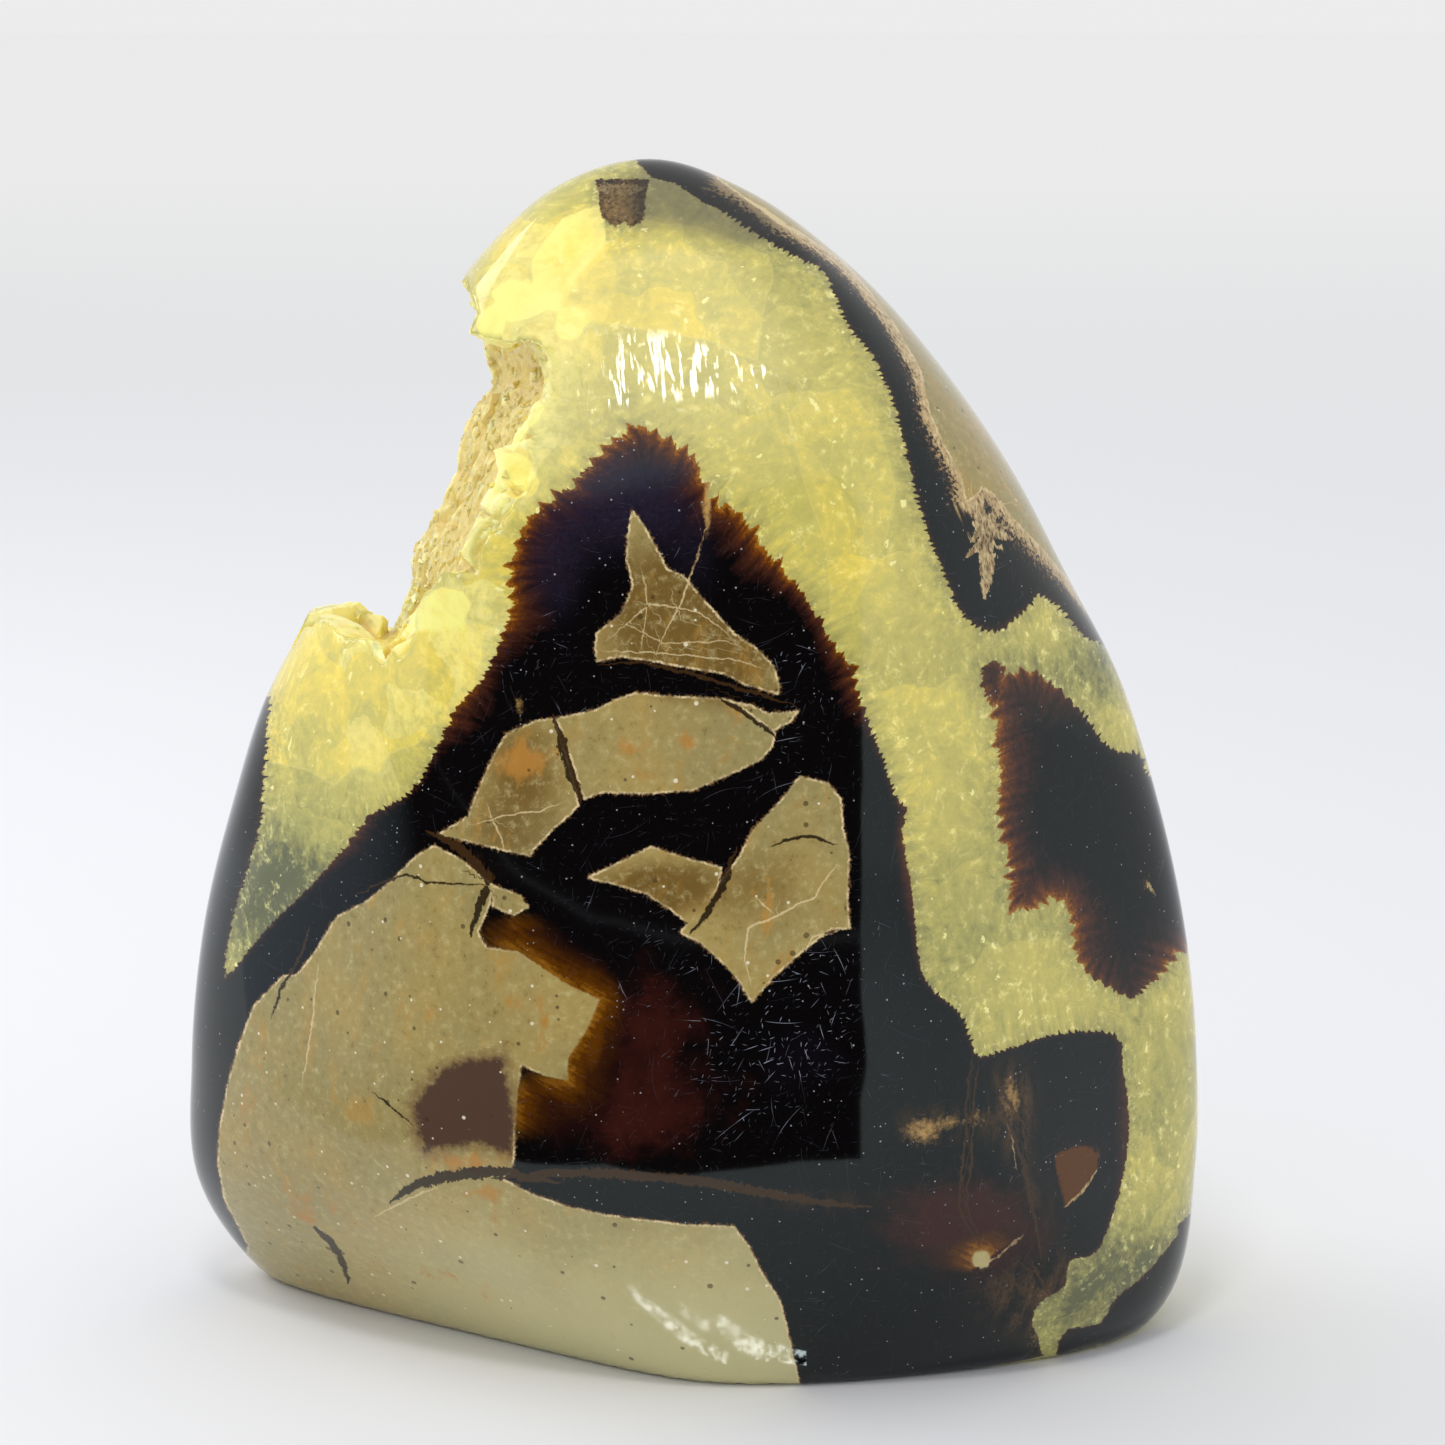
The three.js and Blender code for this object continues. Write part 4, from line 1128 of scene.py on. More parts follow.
def calciteColour(tree, parts):
    look = calciteLook
    spot, rimCut = parts["spot"], parts["rimCut"]
    wide, middle, _ = parts["clouds"]
    # painted light: the share of the calcite inside the painted pools of light
    paintedLit = fade(tree, parts["paintedLightAndShade"], 0.15, 0.9)
    curd = noise(tree, move(tree, "ADD", spot, parts["sway"]), 0.9, 5, 0.7)
    bent = move(tree, "ADD", spot, stretch(tree, parts["sway"], 1.6))
    stray = node(tree, "ShaderNodeCombineXYZ", {0: curd, 2: curd}).outputs[0]
    bent = move(tree, "ADD", bent, stretch(tree, stray, 1.6))
    plates = node(tree, "ShaderNodeTexVoronoi", {"Vector": bent, "Scale": look["plates"]}).outputs
    plate = ownValues(tree, plates)
    # painted shade: every plate is a little brighter towards one side, as if tilted to the light
    across = move(tree, "SUBTRACT", bent, plates["Position"])
    paintedPlateShade = node(tree, "ShaderNodeVectorMath", {0: across, 1: look["plateShadeSlope"]}, operation="DOT_PRODUCT")
    _, chip = grains(tree, bent, look["chips"])
    # columns of crystal stand square to the dark rim
    # painted glints: pale crumbs of crystal catching the light along the dark rim
    crumbsAndGlints = fade(tree, noise(tree, spot, 1.7, 3, 0.6), 0.56, 0.68)
    crumbsAndGlints = product(tree, crumbsAndGlints, fade(tree, rimCut, 1.3, 0.15), 0.5)
    fromRim = move(tree, "ADD", stretch(tree, parts["rimFoot"], 0.85), stretch(tree, spot, 0.15))
    columns = noise(tree, fromRim, 1.5, 3, 0.65)
    # painted light: the drawn crystal sheets are lit brighter, most just inside their crisp edge
    ragged = total(tree, parts["plate"], centred(tree, curd, 0.4))
    sheet = product(tree, fade(tree, ragged, 0.08, -0.08), parts["plateShine"],
                    fade(tree, ragged, 0.0, -3.5, 1.0, 0.45))
    plateToneAndShade = total(tree, centred(tree, plate[0], 0.035), paintedPlateShade.outputs["Value"])
    # the tone takes the painted pools of light and shade together with the calcite's own cloudy grain
    tone = total(tree, scaled(tree, parts["paintedLightAndShade"], 0.17, 0.45),
                 product(tree, wide, 0.07), product(tree, middle, 0.11),
                 centred(tree, curd, 0.22), product(tree, sheet, 0.34),
                 product(tree, plateToneAndShade, fade(tree, rimCut, 0.2, 2.5)),
                 product(tree, centred(tree, chip[0], 0.05), scaled(tree, paintedLit, 0.6, 0.5)),
                 product(tree, centred(tree, columns, 0.26), fade(tree, rimCut, 6.0, 0.3)))
    colour = ramp(tree, tone, [(0.0, look["dull"]), (0.24, look["olive"]), (0.5, look["plain"]),
                               (0.74, look["sunny"]), (0.96, look["bright"])])
    hazy = product(tree, fade(tree, rimCut, 1.6, 0.0), scaled(tree, paintedLit, -0.2, 0.4),
                   fade(tree, columns, 0.6, 0.4, 0.4, 1.0))
    colour = blend(tree, hazy, colour, look["haze"])
    # painted glints: cleavage faces shine pale in the sunny calcite, and small flaws glint everywhere; the
    # milky flecks are the calcite's own
    paleAndGlint = product(tree, fade(tree, plate[1], 0.6, 0.64), paintedLit, fade(tree, curd, 0.35, 0.6, 0.15, 0.45))
    milky = product(tree, fade(tree, curd, 0.54, 0.7), fade(tree, middle, -0.5, 0.6, 0.2, 0.7))
    away, values = grains(tree, bent, 0.8, distance="MANHATTAN")
    glint = calc(tree, "SUBTRACT", away, product(tree, values[0], values[0], 0.36))
    glint = product(tree, fade(tree, glint, 0.03, -0.03), fade(tree, values[1], 0.55, 0.58), 0.75)
    # painted highlight: the sheets' edges catch the light
    rims = product(tree, fade(tree, calc(tree, "ABSOLUTE", ragged), 0.12, 0.02), parts["plateShine"], 0.4)
    # the pale mix: the calcite's own milky flecks, with painted glints and highlights
    palenessAndGlints = largest(tree, paleAndGlint, milky, glint, crumbsAndGlints, rims, fade(tree, sheet, 0.5, 1.0, 0, 0.4))
    colour = blend(tree, palenessAndGlints, colour, look["paleAndGlint"])
    # painted shade: the recessed druse wall is painted a darker tan
    colour = blend(tree, product(tree, parts["shadedDruse"], 0.85), colour, look["shadedDruse"])
    # painted light and shade: tips of broken crystal are painted pale as if lit, the clefts between them
    # honey as if shaded
    colour = blend(tree, fade(tree, parts["relief"], -0.01, -0.2, 0, 0.6), colour, look["creviceShade"])
    return blend(tree, fade(tree, parts["relief"], 0.02, 0.2, 0, 0.7), colour, look["paleAndGlint"])


aragoniteLook = {
    "black": paint(10, 8, 9), "darkBrown": paint(40, 20, 16), "brown": paint(68, 36, 24),
    "honey": paint(160, 100, 24), "russet": paint(104, 56, 18), "violetSheen": paint(40, 33, 50),
    "syrup": paint(142, 92, 22), "amber": paint(90, 50, 6), "deepAmber": paint(56, 28, 8),
    "maroon": paint(58, 24, 18), "deepMaroon": paint(34, 14, 12), "gold": paint(196, 156, 92),
    "velvet": paint(112, 82, 48), "greyShadeAndVeil": paint(44, 42, 40), "woody": paint(88, 62, 36),
    "fur": paint(196, 168, 118), "furFoot": paint(96, 68, 42),
    "bigTeeth": (1.15, 0.85), "smallTeeth": (0.45, 0.36),      # spacing and height in millimetres
    "fringeReach": (0.6, 3.9),      # how far the brown fringe goes in, plain and in the fringed places
    "furLength": (0.26, 0.85),
    "amberReach": 5.5,              # millimetres from the limestone over which the amber darkens
    # hairline scratches: cells per millimetre, length, share of cells, shift
    "scratches": ((0.25, 2.8, 0.6, 3), (0.4, 1.9, 0.45, 11), (0.8, 0.8, 0.35, 31), (1.9, 0.26, 0.4, 23)),
}


def rimTeeth(tree, parts, spacing, height):
    # pointed crystal ends side by side, as how far they stand out of the rim
    way = scaled(tree, parts["rim"], 0.35, parts["rimWay"])
    cells = node(tree, "ShaderNodeTexVoronoi", {"W": way, "Scale": 1 / spacing, "Randomness": 0.8},
                 voronoi_dimensions="1D").outputs
    tall = scaled(tree, ownValues(tree, cells)[0], height, height * 0.35)
    return product(tree, scaled(tree, cells["Distance"], -2.2, 1.0), tall)


def aragoniteColour(tree, parts):
    look = aragoniteLook
    spot, blockCut, amber, fringe = parts["spot"], parts["blockCut"], parts["amber"], parts["fringe"]
    wide, middle, _ = parts["clouds"]
    depth = product(tree, parts["rimCut"], -1.0)
    fibres = noise(tree, parts["rimFoot"], 1.8, 3, 0.65)
    grit = noise(tree, spot, 2.6, 4, 0.72)
    plain, reach = look["fringeReach"]
    spread = product(tree, fade(tree, fringe, 0, 1), fade(tree, fibres, 0.3, 0.7, 0.6, 1.15))
    reach = scaled(tree, spread, reach, plain)
    inward = total(tree, calc(tree, "DIVIDE", depth, reach), centred(tree, grit, 0.22),
                   fade(tree, fringe, 0.7, 0.1, 0, 0.34))
    colour = ramp(tree, inward, [(0.0, look["honey"]), (0.12, look["russet"]), (0.3, look["brown"]),
                                 (0.6, look["darkBrown"]), (1.0, look["black"])])
    # painted sheen: a purple-blue veil over the black
    hazy = total(tree, parts["violetSheen"], product(tree, middle, 0.25))
    hazy = product(tree, fade(tree, hazy, 0.3, 1.1), 0.85, fade(tree, grit, 0.3, 0.6, 0.55, 1.0))
    colour = blend(tree, hazy, colour, look["violetSheen"])
    # woody streaks run down through the lower right
    streaks = noise(tree, alongGrain(tree, spot, 5, (1.1, 1.5, 3.6)), 1.0, 5, 0.7)
    woody = product(tree, fade(tree, parts["woody"], 0.1, 1.0), fade(tree, streaks, 0.38, 0.68),
                    fade(tree, grit, 0.3, 0.6, 0.5, 1.0))
    colour = blend(tree, product(tree, woody, 0.85), colour, look["woody"])
    # painted light: reddish light shining through the dark crystal, over its own red brown
    glowing = total(tree, parts["red"], product(tree, middle, 0.22),
                    centred(tree, noise(tree, spot, 0.4, 4, 0.65), 0.8))
    colour = blend(tree, fade(tree, glowing, 0.3, 1.0), colour, look["deepMaroon"])
    colour = blend(tree, fade(tree, glowing, 0.6, 1.4, 0, 0.9), colour, look["maroon"])
    # amber light inside the panes, brown towards their middle
    inPane = fade(tree, total(tree, parts["pane"], centred(tree, grit, 0.35)), 0.15, -0.15)
    glassy = total(tree, amber, centred(tree, grit, 0.2), product(tree, middle, 0.15))
    lit = product(tree, inPane, fade(tree, glassy, 0.2, 0.75))
    slant = noise(tree, alongGrain(tree, spot, 30, (2.5, 2.0, 0.35)), 1.0, 3, 0.6)
    inner = total(tree, blockCut, centred(tree, grit, 0.9), centred(tree, slant, 1.1))
    inner = calc(tree, "DIVIDE", inner, look["amberReach"])
    inner = calc(tree, "MINIMUM", inner, fade(tree, amber, 0.5, 1.3, 1.2, 0.14))
    honeyed = ramp(tree, inner, [(0.0, look["syrup"]), (0.14, look["amber"]), (0.36, look["deepAmber"]),
                                 (0.7, look["deepMaroon"])])
    colour = blend(tree, lit, colour, honeyed)
    # short fur and velvet of fine crystals on the limestone's edge
    hairs = noise(tree, parts["blockFoot"], 3.4, 2, 0.6)
    low, high = look["furLength"]
    length = scaled(tree, parts["fur"], high, low)
    length = product(tree, length, fade(tree, hairs, 0.25, 0.75, 0.2, 1.6))
    reached = calc(tree, "DIVIDE", blockCut, length)
    furry = fade(tree, parts["fur"], 0.2, 0.9)
    cream = ramp(tree, total(tree, reached, centred(tree, grit, 0.5)), [
        (0.0, look["fur"]), (0.3, look["fur"]), (0.6, look["furFoot"]), (1.0, look["darkBrown"])])
    tint = blend(tree, furry, look["velvet"], cream)
    share = product(tree, fade(tree, reached, 1.0, 0.5), fade(tree, amber, 0.6, 0.2),
                    fade(tree, grit, 0.4, 0.58, product(tree, furry, 0.8), 0.9))
    colour = blend(tree, share, colour, tint)
    flecks = total(tree, parts["gold"], centred(tree, grit, 0.7))
    colour = blend(tree, fade(tree, flecks, 0.3, 1.25, 0, 0.9), colour, look["gold"])
    # dust and hairline scratches in the polish
    scratches = largest(tree, *[hairlines(tree, spot, *layer) for layer in look["scratches"]])
    uneven = centred(tree, noise(tree, spot, 0.35, 2), 1.6)
    worn = fade(tree, total(tree, parts["worn"], product(tree, wide, 0.3), uneven), 0.3, 1.7, 0.04, 0.9)
    colour = blend(tree, product(tree, scratches, worn), colour, polishLook["scratch"])
    dust = scatteredDots(tree, spot, 2.2, 0.19, 0.45)
    return blend(tree, product(tree, dust, 0.6), colour, polishLook["dust"])


limestoneLook = {
    "base": paint(168, 147, 88), "olive": paint(153, 140, 90), "pale": paint(200, 186, 130),
    # foot: painted reflection, paler limestone low down
    "brown": paint(116, 91, 43), "ochre": paint(184, 142, 66), "foot": paint(202, 196, 148),
    "rust": paint(182, 128, 56), "cream": paint(226, 204, 156), "umber": paint(82, 60, 50),
    "umberEdge": paint(118, 92, 62),
    "lineWidth": 0.09,
    # specks: per millimetre, size of the widest, share of cells, colour, strength
    "specks": ((0.9, 0.24, 0.6, paint(66, 54, 34), 0.7), (1.2, 0.22, 0.5, paint(236, 228, 200), 0.8)),
}


def limestoneColour(tree, parts):
    look = limestoneLook
    spot = parts["spot"]
    _, middle, third = parts["clouds"]
    fine = noise(tree, spot, 1.2, 5, 0.75)
    streaky = noise(tree, alongGrain(tree, spot, 12, (2.2, 2.2, 5.0)), 1.0, 4, 0.7)
    colour = blend(tree, fade(tree, third, -0.4, 0.4), look["olive"], look["base"])
    browned = scaled(tree, middle, 0.35, parts["brown"])
    colour = blend(tree, fade(tree, browned, 0.2, 0.9), colour, look["brown"])
    colour = blend(tree, fade(tree, fine, 0.48, 0.78, 0, 0.75), colour, look["pale"])
    colour = blend(tree, fade(tree, fine, 0.46, 0.24, 0, 0.7), colour, look["brown"])
    ochre = product(tree, fade(tree, streaky, 0.52, 0.68), fade(tree, middle, -0.6, 0.6, 0.15, 0.6))
    colour = blend(tree, ochre, colour, look["ochre"])
    # painted reflection: the limestone is paler low down, least at the left, where the bright floor mirrors
    # in the polish
    side, _, height = threeParts(tree, spot)
    foot = fade(tree, scaled(tree, middle, 3.0, height), 23.0, 2.0, 0, 0.9)
    colour = blend(tree, product(tree, foot, fade(tree, side, -36.0, -12.0, 0.15, 1.0)), colour, look["foot"])
    rusty = total(tree, parts["rust"], centred(tree, streaky, 1.3))
    colour = blend(tree, fade(tree, rusty, 0.35, 1.0, 0, 0.8), colour, look["rust"])
    ragged = total(tree, parts["stain"], centred(tree, fine, 0.9))
    colour = blend(tree, fade(tree, ragged, 1.3, -0.2, 0, 0.75), colour, look["umberEdge"])
    colour = blend(tree, fade(tree, ragged, 0.2, -0.4, 0, 0.95), colour, look["umber"])
    for perMillimetre, widest, kept, tint, share in look["specks"]:
        dots = scatteredDots(tree, spot, perMillimetre, widest, kept)
        colour = blend(tree, product(tree, dots, share), colour, tint)
    return colour


polishLook = {
    "gloss": 0.06, "limestoneGloss": 0.13, "brokenGloss": 0.34, "combGloss": 0.42,     # roughness
    "index": 1.5, "darkIndex": 1.45, "darkTint": (0.86, 1, 1, 1),
    "translucency": 0.55, "depthMillimetres": (0.35, 2.8), "lipWidth": 4.0, "radius": (1.0, 0.75, 0.25),
    "dust": paint(186, 186, 190), "scratch": paint(196, 202, 220),
    "crack": paint(32, 20, 12), "foot": paint(62, 42, 22),
    "combSizes": (0.5, 3.0, 3.6),      # width, depth and height of a glinting column
}


def drawnLines(tree, parts, name, wobble):
    # where the lines of a drawing lie, from 0 to 1, with a shaky hand and broken edges
    signed, plain, width = parts[name]
    shaky = total(tree, signed, centred(tree, parts["shake"], wobble))
    edge = calc(tree, "SUBTRACT", calc(tree, "ABSOLUTE", shaky),
                scaled(tree, product(tree, width, parts["grain"]), 0.8, width))
    return product(tree, fade(tree, edge, 0.05, -0.05), fade(tree, plain, 1.2, 0.9),
                   fade(tree, width, 0.0, 0.03))


def polishedStone():
    material, tree, calcite, spot = newMaterial("septarian stone")
    aragonite, limestone = node(tree, "ShaderNodeBsdfPrincipled"), node(tree, "ShaderNodeBsdfPrincipled")
    parts = {"spot": spot, "rimFoot": readVector(tree, "rimFoot"), "blockFoot": readVector(tree, "blockFoot"),
             "sway": readVector(tree, "sway"), "clouds": readThree(tree, "clouds"),
             "cracks": readThree(tree, "cracks"), "veins": readThree(tree, "veins")}
    for name, keys in surfaceData.items():
        parts.update(zip(keys, readThree(tree, name)))
    broken, parts["shadedDruse"], _ = readThree(tree, "finish")
    lip, parts["relief"], _ = readThree(tree, "lip")
    look = aragoniteLook

    # where the dark crystals and the limestone start
    fringed = fade(tree, parts["fringe"], 0.0, 0.9, 0.12, 1.0)
    teeth = product(tree, rimTeeth(tree, parts, *look["bigTeeth"]), fringed)
    teeth = largest(tree, teeth, rimTeeth(tree, parts, *look["smallTeeth"]), 0.0)
    teeth = product(tree, teeth, fade(tree, parts["blunt"], 0.1, 0.9, 1.0, 0.12))
    fuzz = centred(tree, noise(tree, spot, 2.2, 3, 0.7), 0.3)
    parts["rimCut"] = calc(tree, "SUBTRACT", total(tree, parts["rim"], fuzz), teeth)
    dark = fade(tree, parts["rimCut"], 0.06, -0.06)
    grit = centred(tree, noise(tree, parts["blockFoot"], 2.6, 4, 0.75), 0.22)
    grit = total(tree, grit, product(tree, parts["clouds"][1], 0.1))
    parts["blockCut"] = total(tree, parts["block"], grit)
    softness = fade(tree, parts["amber"], 0.5, 1.0, 0.05, 0.14)
    lime = fade(tree, calc(tree, "DIVIDE", parts["blockCut"], softness), 1.0, -1.0)

    # lines drawn over both
    parts["shake"] = noise(tree, spot, 0.9, 3, 0.65)
    parts["grain"] = centred(tree, noise(tree, alongGrain(tree, spot, 0, (0.22, 0.3, 0.5)), 1.0, 2, 0.7), 1.0)
    pale = drawnLines(tree, parts, "veins", 0.3)
    cracked = product(tree, drawnLines(tree, parts, "cracks", 0.4), 0.93)
    outline = calc(tree, "SUBTRACT", calc(tree, "ABSOLUTE", parts["blockCut"]), limestoneLook["lineWidth"])
    uneven = noise(tree, parts["blockFoot"], 0.9, 3, 0.65)
    outline = product(tree, fade(tree, outline, 0.05, -0.05), fade(tree, parts["amber"], 0.6, 0.3),
                      fade(tree, parts["grain"], -0.35, 0.1, 0.3, 1.0),
                      fade(tree, uneven, 0.36, 0.6, 0.12, 0.95))

    # painted shade: the calcite dulled to grey near the top
    greyShadeShare = fade(tree, parts["greyShadeAndVeil"], 0.2, 1.1, 0, 0.75)
    colour = blend(tree, greyShadeShare, calciteColour(tree, parts), calciteLook["greyShadeAndVeil"])
    tree.links.new(colour, calcite.inputs["Base Color"])
    colour = blend(tree, outline, aragoniteColour(tree, parts), limestoneLook["cream"])
    speckled = fade(tree, parts["grain"], -0.5, 0.3, 0.35, 1.0)
    faint = fade(tree, parts["woody"], 0.2, 0.8, 0.9, 0.4)
    strands = noise(tree, alongGrain(tree, spot, 10, (0.4, 0.5, 1.1)), 1.0, 3, 0.7)
    furry = ramp(tree, strands, [(0.36, look["furFoot"]), (0.5, look["fur"]), (0.66, limestoneLook["cream"])])
    colour = blend(tree, product(tree, pale, speckled, faint), colour, furry)
    colour = blend(tree, cracked, colour, polishLook["foot"])
    # painted reflection: a grey veil over the dark crystal near the top
    colour = blend(tree, fade(tree, parts["greyShadeAndVeil"], 0.2, 1.2, 0, 0.8), colour, look["greyShadeAndVeil"])
    tree.links.new(colour, aragonite.inputs["Base Color"])
    creamy = largest(tree, outline, product(tree, pale, 0.7))
    colour = blend(tree, creamy, limestoneColour(tree, parts), limestoneLook["cream"])
    tree.links.new(blend(tree, cracked, colour, polishLook["crack"]), limestone.inputs["Base Color"])

    # the polish shows as upright glints where columns of crystal end in it
    columns = noise(tree, alongGrain(tree, spot, -8, polishLook["combSizes"]), 1.0, 2, 0.6)
    shiny = product(tree, fade(tree, columns, 0.55, 0.58), fade(tree, parts["comb"], 0.5, 0.7))
    dim = product(tree, calc(tree, "SUBTRACT", 1.0, shiny), fade(tree, parts["comb"], 0.05, 0.25))
    for surface, gloss in ((calcite, "gloss"), (limestone, "limestoneGloss")):
        rough = fade(tree, dim, 0.0, 1.0, polishLook[gloss], polishLook["combGloss"])
        rough = fade(tree, broken, 0.0, 1.0, rough, polishLook["brokenGloss"])
        tree.links.new(rough, surface.inputs["Roughness"])
    setValues(aragonite, {"Roughness": polishLook["gloss"]})
    for surface, index in ((calcite, "index"), (aragonite, "darkIndex"), (limestone, "darkIndex")):
        setValues(surface, {"IOR": polishLook[index]})
    setValues(aragonite, {"Specular Tint": polishLook["darkTint"]})
    # light goes less far near the broken lip, where the stone is only a skin
    low, high = polishLook["depthMillimetres"]
    reach = fade(tree, lip, 0.0, polishLook["lipWidth"], low * mm, high * mm)
    tree.links.new(reach, calcite.inputs["Subsurface Scale"])
    setValues(calcite, {
        "Subsurface Weight": polishLook["translucency"], "Subsurface Radius": polishLook["radius"]})
    night = node(tree, "ShaderNodeMixShader", {0: lime, 1: aragonite.outputs[0], 2: limestone.outputs[0]})
    whole = node(tree, "ShaderNodeMixShader", {0: dark, 1: calcite.outputs[0], 2: night.outputs[0]})
    output = next(n for n in tree.nodes if n.type == "OUTPUT_MATERIAL")
    tree.links.new(whole.outputs[0], output.inputs[0])
    return material


crystalLook = {
    "sunny": (paint(236, 208, 104), paint(252, 232, 124), paint(255, 250, 182)),
    # tan: the crystals of the recessed wall, darker as painted shade
    "tan": (paint(208, 180, 98), paint(228, 202, 118), paint(248, 232, 170)),
    "gloss": 0.2, "index": 1.5, "translucency": 0.5, "depthMillimetres": 0.3, "radius": (1.0, 0.8, 0.3),
}


def crystalFinish():
    material, tree, surface, spot = newMaterial("calcite crystals")
    look = crystalLook
    tint = node(tree, "ShaderNodeAttribute", attribute_name="crystalTint").outputs["Fac"]
    _, shadedDruse, _ = readThree(tree, "finish")
    tone = total(tree, centred(tree, noise(tree, spot, 1.2, 3, 0.6), 0.3),
                 scaled(tree, tint, 0.6, 0.2))
    # sunny shades for the crystals of the lip and floor, tan ones with painted shade for the recessed wall
    shades = [ramp(tree, tone, list(zip((0.05, 0.5, 0.95), look[name]))) for name in ("sunny", "tan")]
    tree.links.new(blend(tree, shadedDruse, *shades), surface.inputs["Base Color"])
    setValues(surface, {
        "Roughness": look["gloss"], "IOR": look["index"], "Subsurface Weight": look["translucency"],
        "Subsurface Radius": look["radius"], "Subsurface Scale": look["depthMillimetres"] * mm})
    return material


# crystals on the crust, by Geometry Nodes

rhombForm = {
    "corner": (45, 35.26, 0),        # degrees that stand a cube on its corner
    "stretch": (1.1, 1.1, 0.95), "sunk": -0.48,
    "lean": 0.35,                    # radians, either way
}
crystalSizes = {     # points per square metre, and sizes in millimetres
    "small": {"Density": 7e5, "Least": 0.3, "Most": 0.8, "Seed": 3},
    "large": {"Density": 5e4, "Least": 0.8, "Most": 1.5, "Seed": 8},
}


def crystalTree(crystalMaterial):
    tree = bpy.data.node_groups.new("crystalDruse", "GeometryNodeTree")
    sockets = tree.interface
    sockets.new_socket("Geometry", in_out="INPUT", socket_type="NodeSocketGeometry")
    for name in ("Density", "Least", "Most"):
        sockets.new_socket(name, in_out="INPUT", socket_type="NodeSocketFloat")
    sockets.new_socket("Seed", in_out="INPUT", socket_type="NodeSocketInt")
    sockets.new_socket("Geometry", in_out="OUTPUT", socket_type="NodeSocketGeometry")
    given = node(tree, "NodeGroupInput").outputs
    finish = node(tree, "GeometryNodeInputNamedAttribute", {"Name": "finish"}, data_type="FLOAT_VECTOR")
    dense = product(tree, given["Density"], threeParts(tree, finish.outputs[0])[2])
    scattered = node(tree, "GeometryNodeDistributePointsOnFaces",
                     {"Mesh": given["Geometry"], "Density": dense, "Seed": given["Seed"]})
    # a rhomb that stands on its corner
    cube = node(tree, "GeometryNodeMeshCube", {"Size": (1, 1, 1)}).outputs[0]
    cornerUp = [math.radians(turn) for turn in rhombForm["corner"]]
    rhomb = node(tree, "GeometryNodeTransform", {"Geometry": cube, "Rotation": cornerUp}).outputs[0]
    rhomb = node(tree, "GeometryNodeTransform", {
        "Geometry": rhomb, "Scale": rhombForm["stretch"],
        "Translation": (0, 0, rhombForm["sunk"])}).outputs[0]
    lean = rhombForm["lean"]
    turn = node(tree, "FunctionNodeRandomValue", {0: (-lean, -lean, 0), 1: (lean, lean, 6.28), "Seed": 5},
                data_type="FLOAT_VECTOR").outputs[0]
    turned = node(tree, "FunctionNodeRotateEuler", {
        "Rotation": scattered.outputs["Rotation"], "Rotate By": turn},
        rotation_type="EULER", space="LOCAL").outputs[0]
    size = node(tree, "FunctionNodeRandomValue", {2: given["Least"], 3: given["Most"], "Seed": 9},
                data_type="FLOAT").outputs[1]
    placed = node(tree, "GeometryNodeInstanceOnPoints", {
        "Points": scattered.outputs["Points"], "Instance": rhomb, "Rotation": turned,
        "Scale": product(tree, size, mm)}).outputs[0]
    tint = node(tree, "FunctionNodeRandomValue", {2: 0.0, 3: 1.0, "Seed": 12}, data_type="FLOAT").outputs[1]
    tinted = node(tree, "GeometryNodeStoreNamedAttribute", {
        "Geometry": placed, "Name": "crystalTint", "Value": tint},
        data_type="FLOAT", domain="INSTANCE").outputs[0]
    real = node(tree, "GeometryNodeRealizeInstances", {0: tinted}).outputs[0]
    finished = node(tree, "GeometryNodeSetMaterial", {"Geometry": real, "Material": crystalMaterial})
    node(tree, "NodeGroupOutput", {0: finished.outputs[0]})
    return tree


def grownCrystals(base, tree, sizes):
    modifier = base.modifiers.new("crystals", "NODES")
    modifier.node_group = tree
    for socket in tree.interface.items_tree:
        if socket.in_out == "INPUT" and socket.name in sizes:
            modifier[socket.identifier] = sizes[socket.name]
    graph = bpy.context.evaluated_depsgraph_get()
    mesh = bpy.data.meshes.new_from_object(base.evaluated_get(graph))
    base.modifiers.remove(modifier)
    print("crystals:", len(mesh.polygons), "faces")
    return makeObject("crystals", mesh)


def joinInto(target, extra):
    with bpy.context.temp_override(active_object=target, selected_editable_objects=[target, extra]):
        bpy.ops.object.join()


# build

stoneMaterial = polishedStone()
crystalMaterial = crystalFinish()
wholeStone = makeWholeStone("wholeStone", stoneForm["seamBands"], 0)
sunkStone = makeWholeStone("sunkStone", (), stoneForm["crustInset"])
stoneTool = makeHollow("stoneTool", hollowForm["lipWidth"], hollowForm["roughGrid"], True)
hollowTool = makeHollow("hollowTool", 0, hollowForm["fineGrid"], True)
shellTool = makeHollow("shellTool", hollowForm["crustThickness"], hollowForm["plainGrid"], False)

nodule = makeObject("polishedNodule", cutMesh(wholeStone, stoneTool, "DIFFERENCE"))
shell = makeObject("shell", cutMesh(shellTool, hollowTool, "DIFFERENCE"))
crust = makeObject("crystalCrust", cutMesh(shell, sunkStone, "INTERSECT"))
for piece in (nodule, crust):
    piece.data.materials.clear()
    piece.data.materials.append(stoneMaterial)
    paintSurface(piece.data)
    print(piece.name, len(piece.data.polygons), "triangles")
druse = crystalTree(crystalMaterial)
for crystals in [grownCrystals(crust, druse, sizes) for sizes in crystalSizes.values()]:
    joinInto(crust, crystals)
for helper in (wholeStone, sunkStone, stoneTool, hollowTool, shellTool, shell):
    bpy.data.objects.remove(helper)


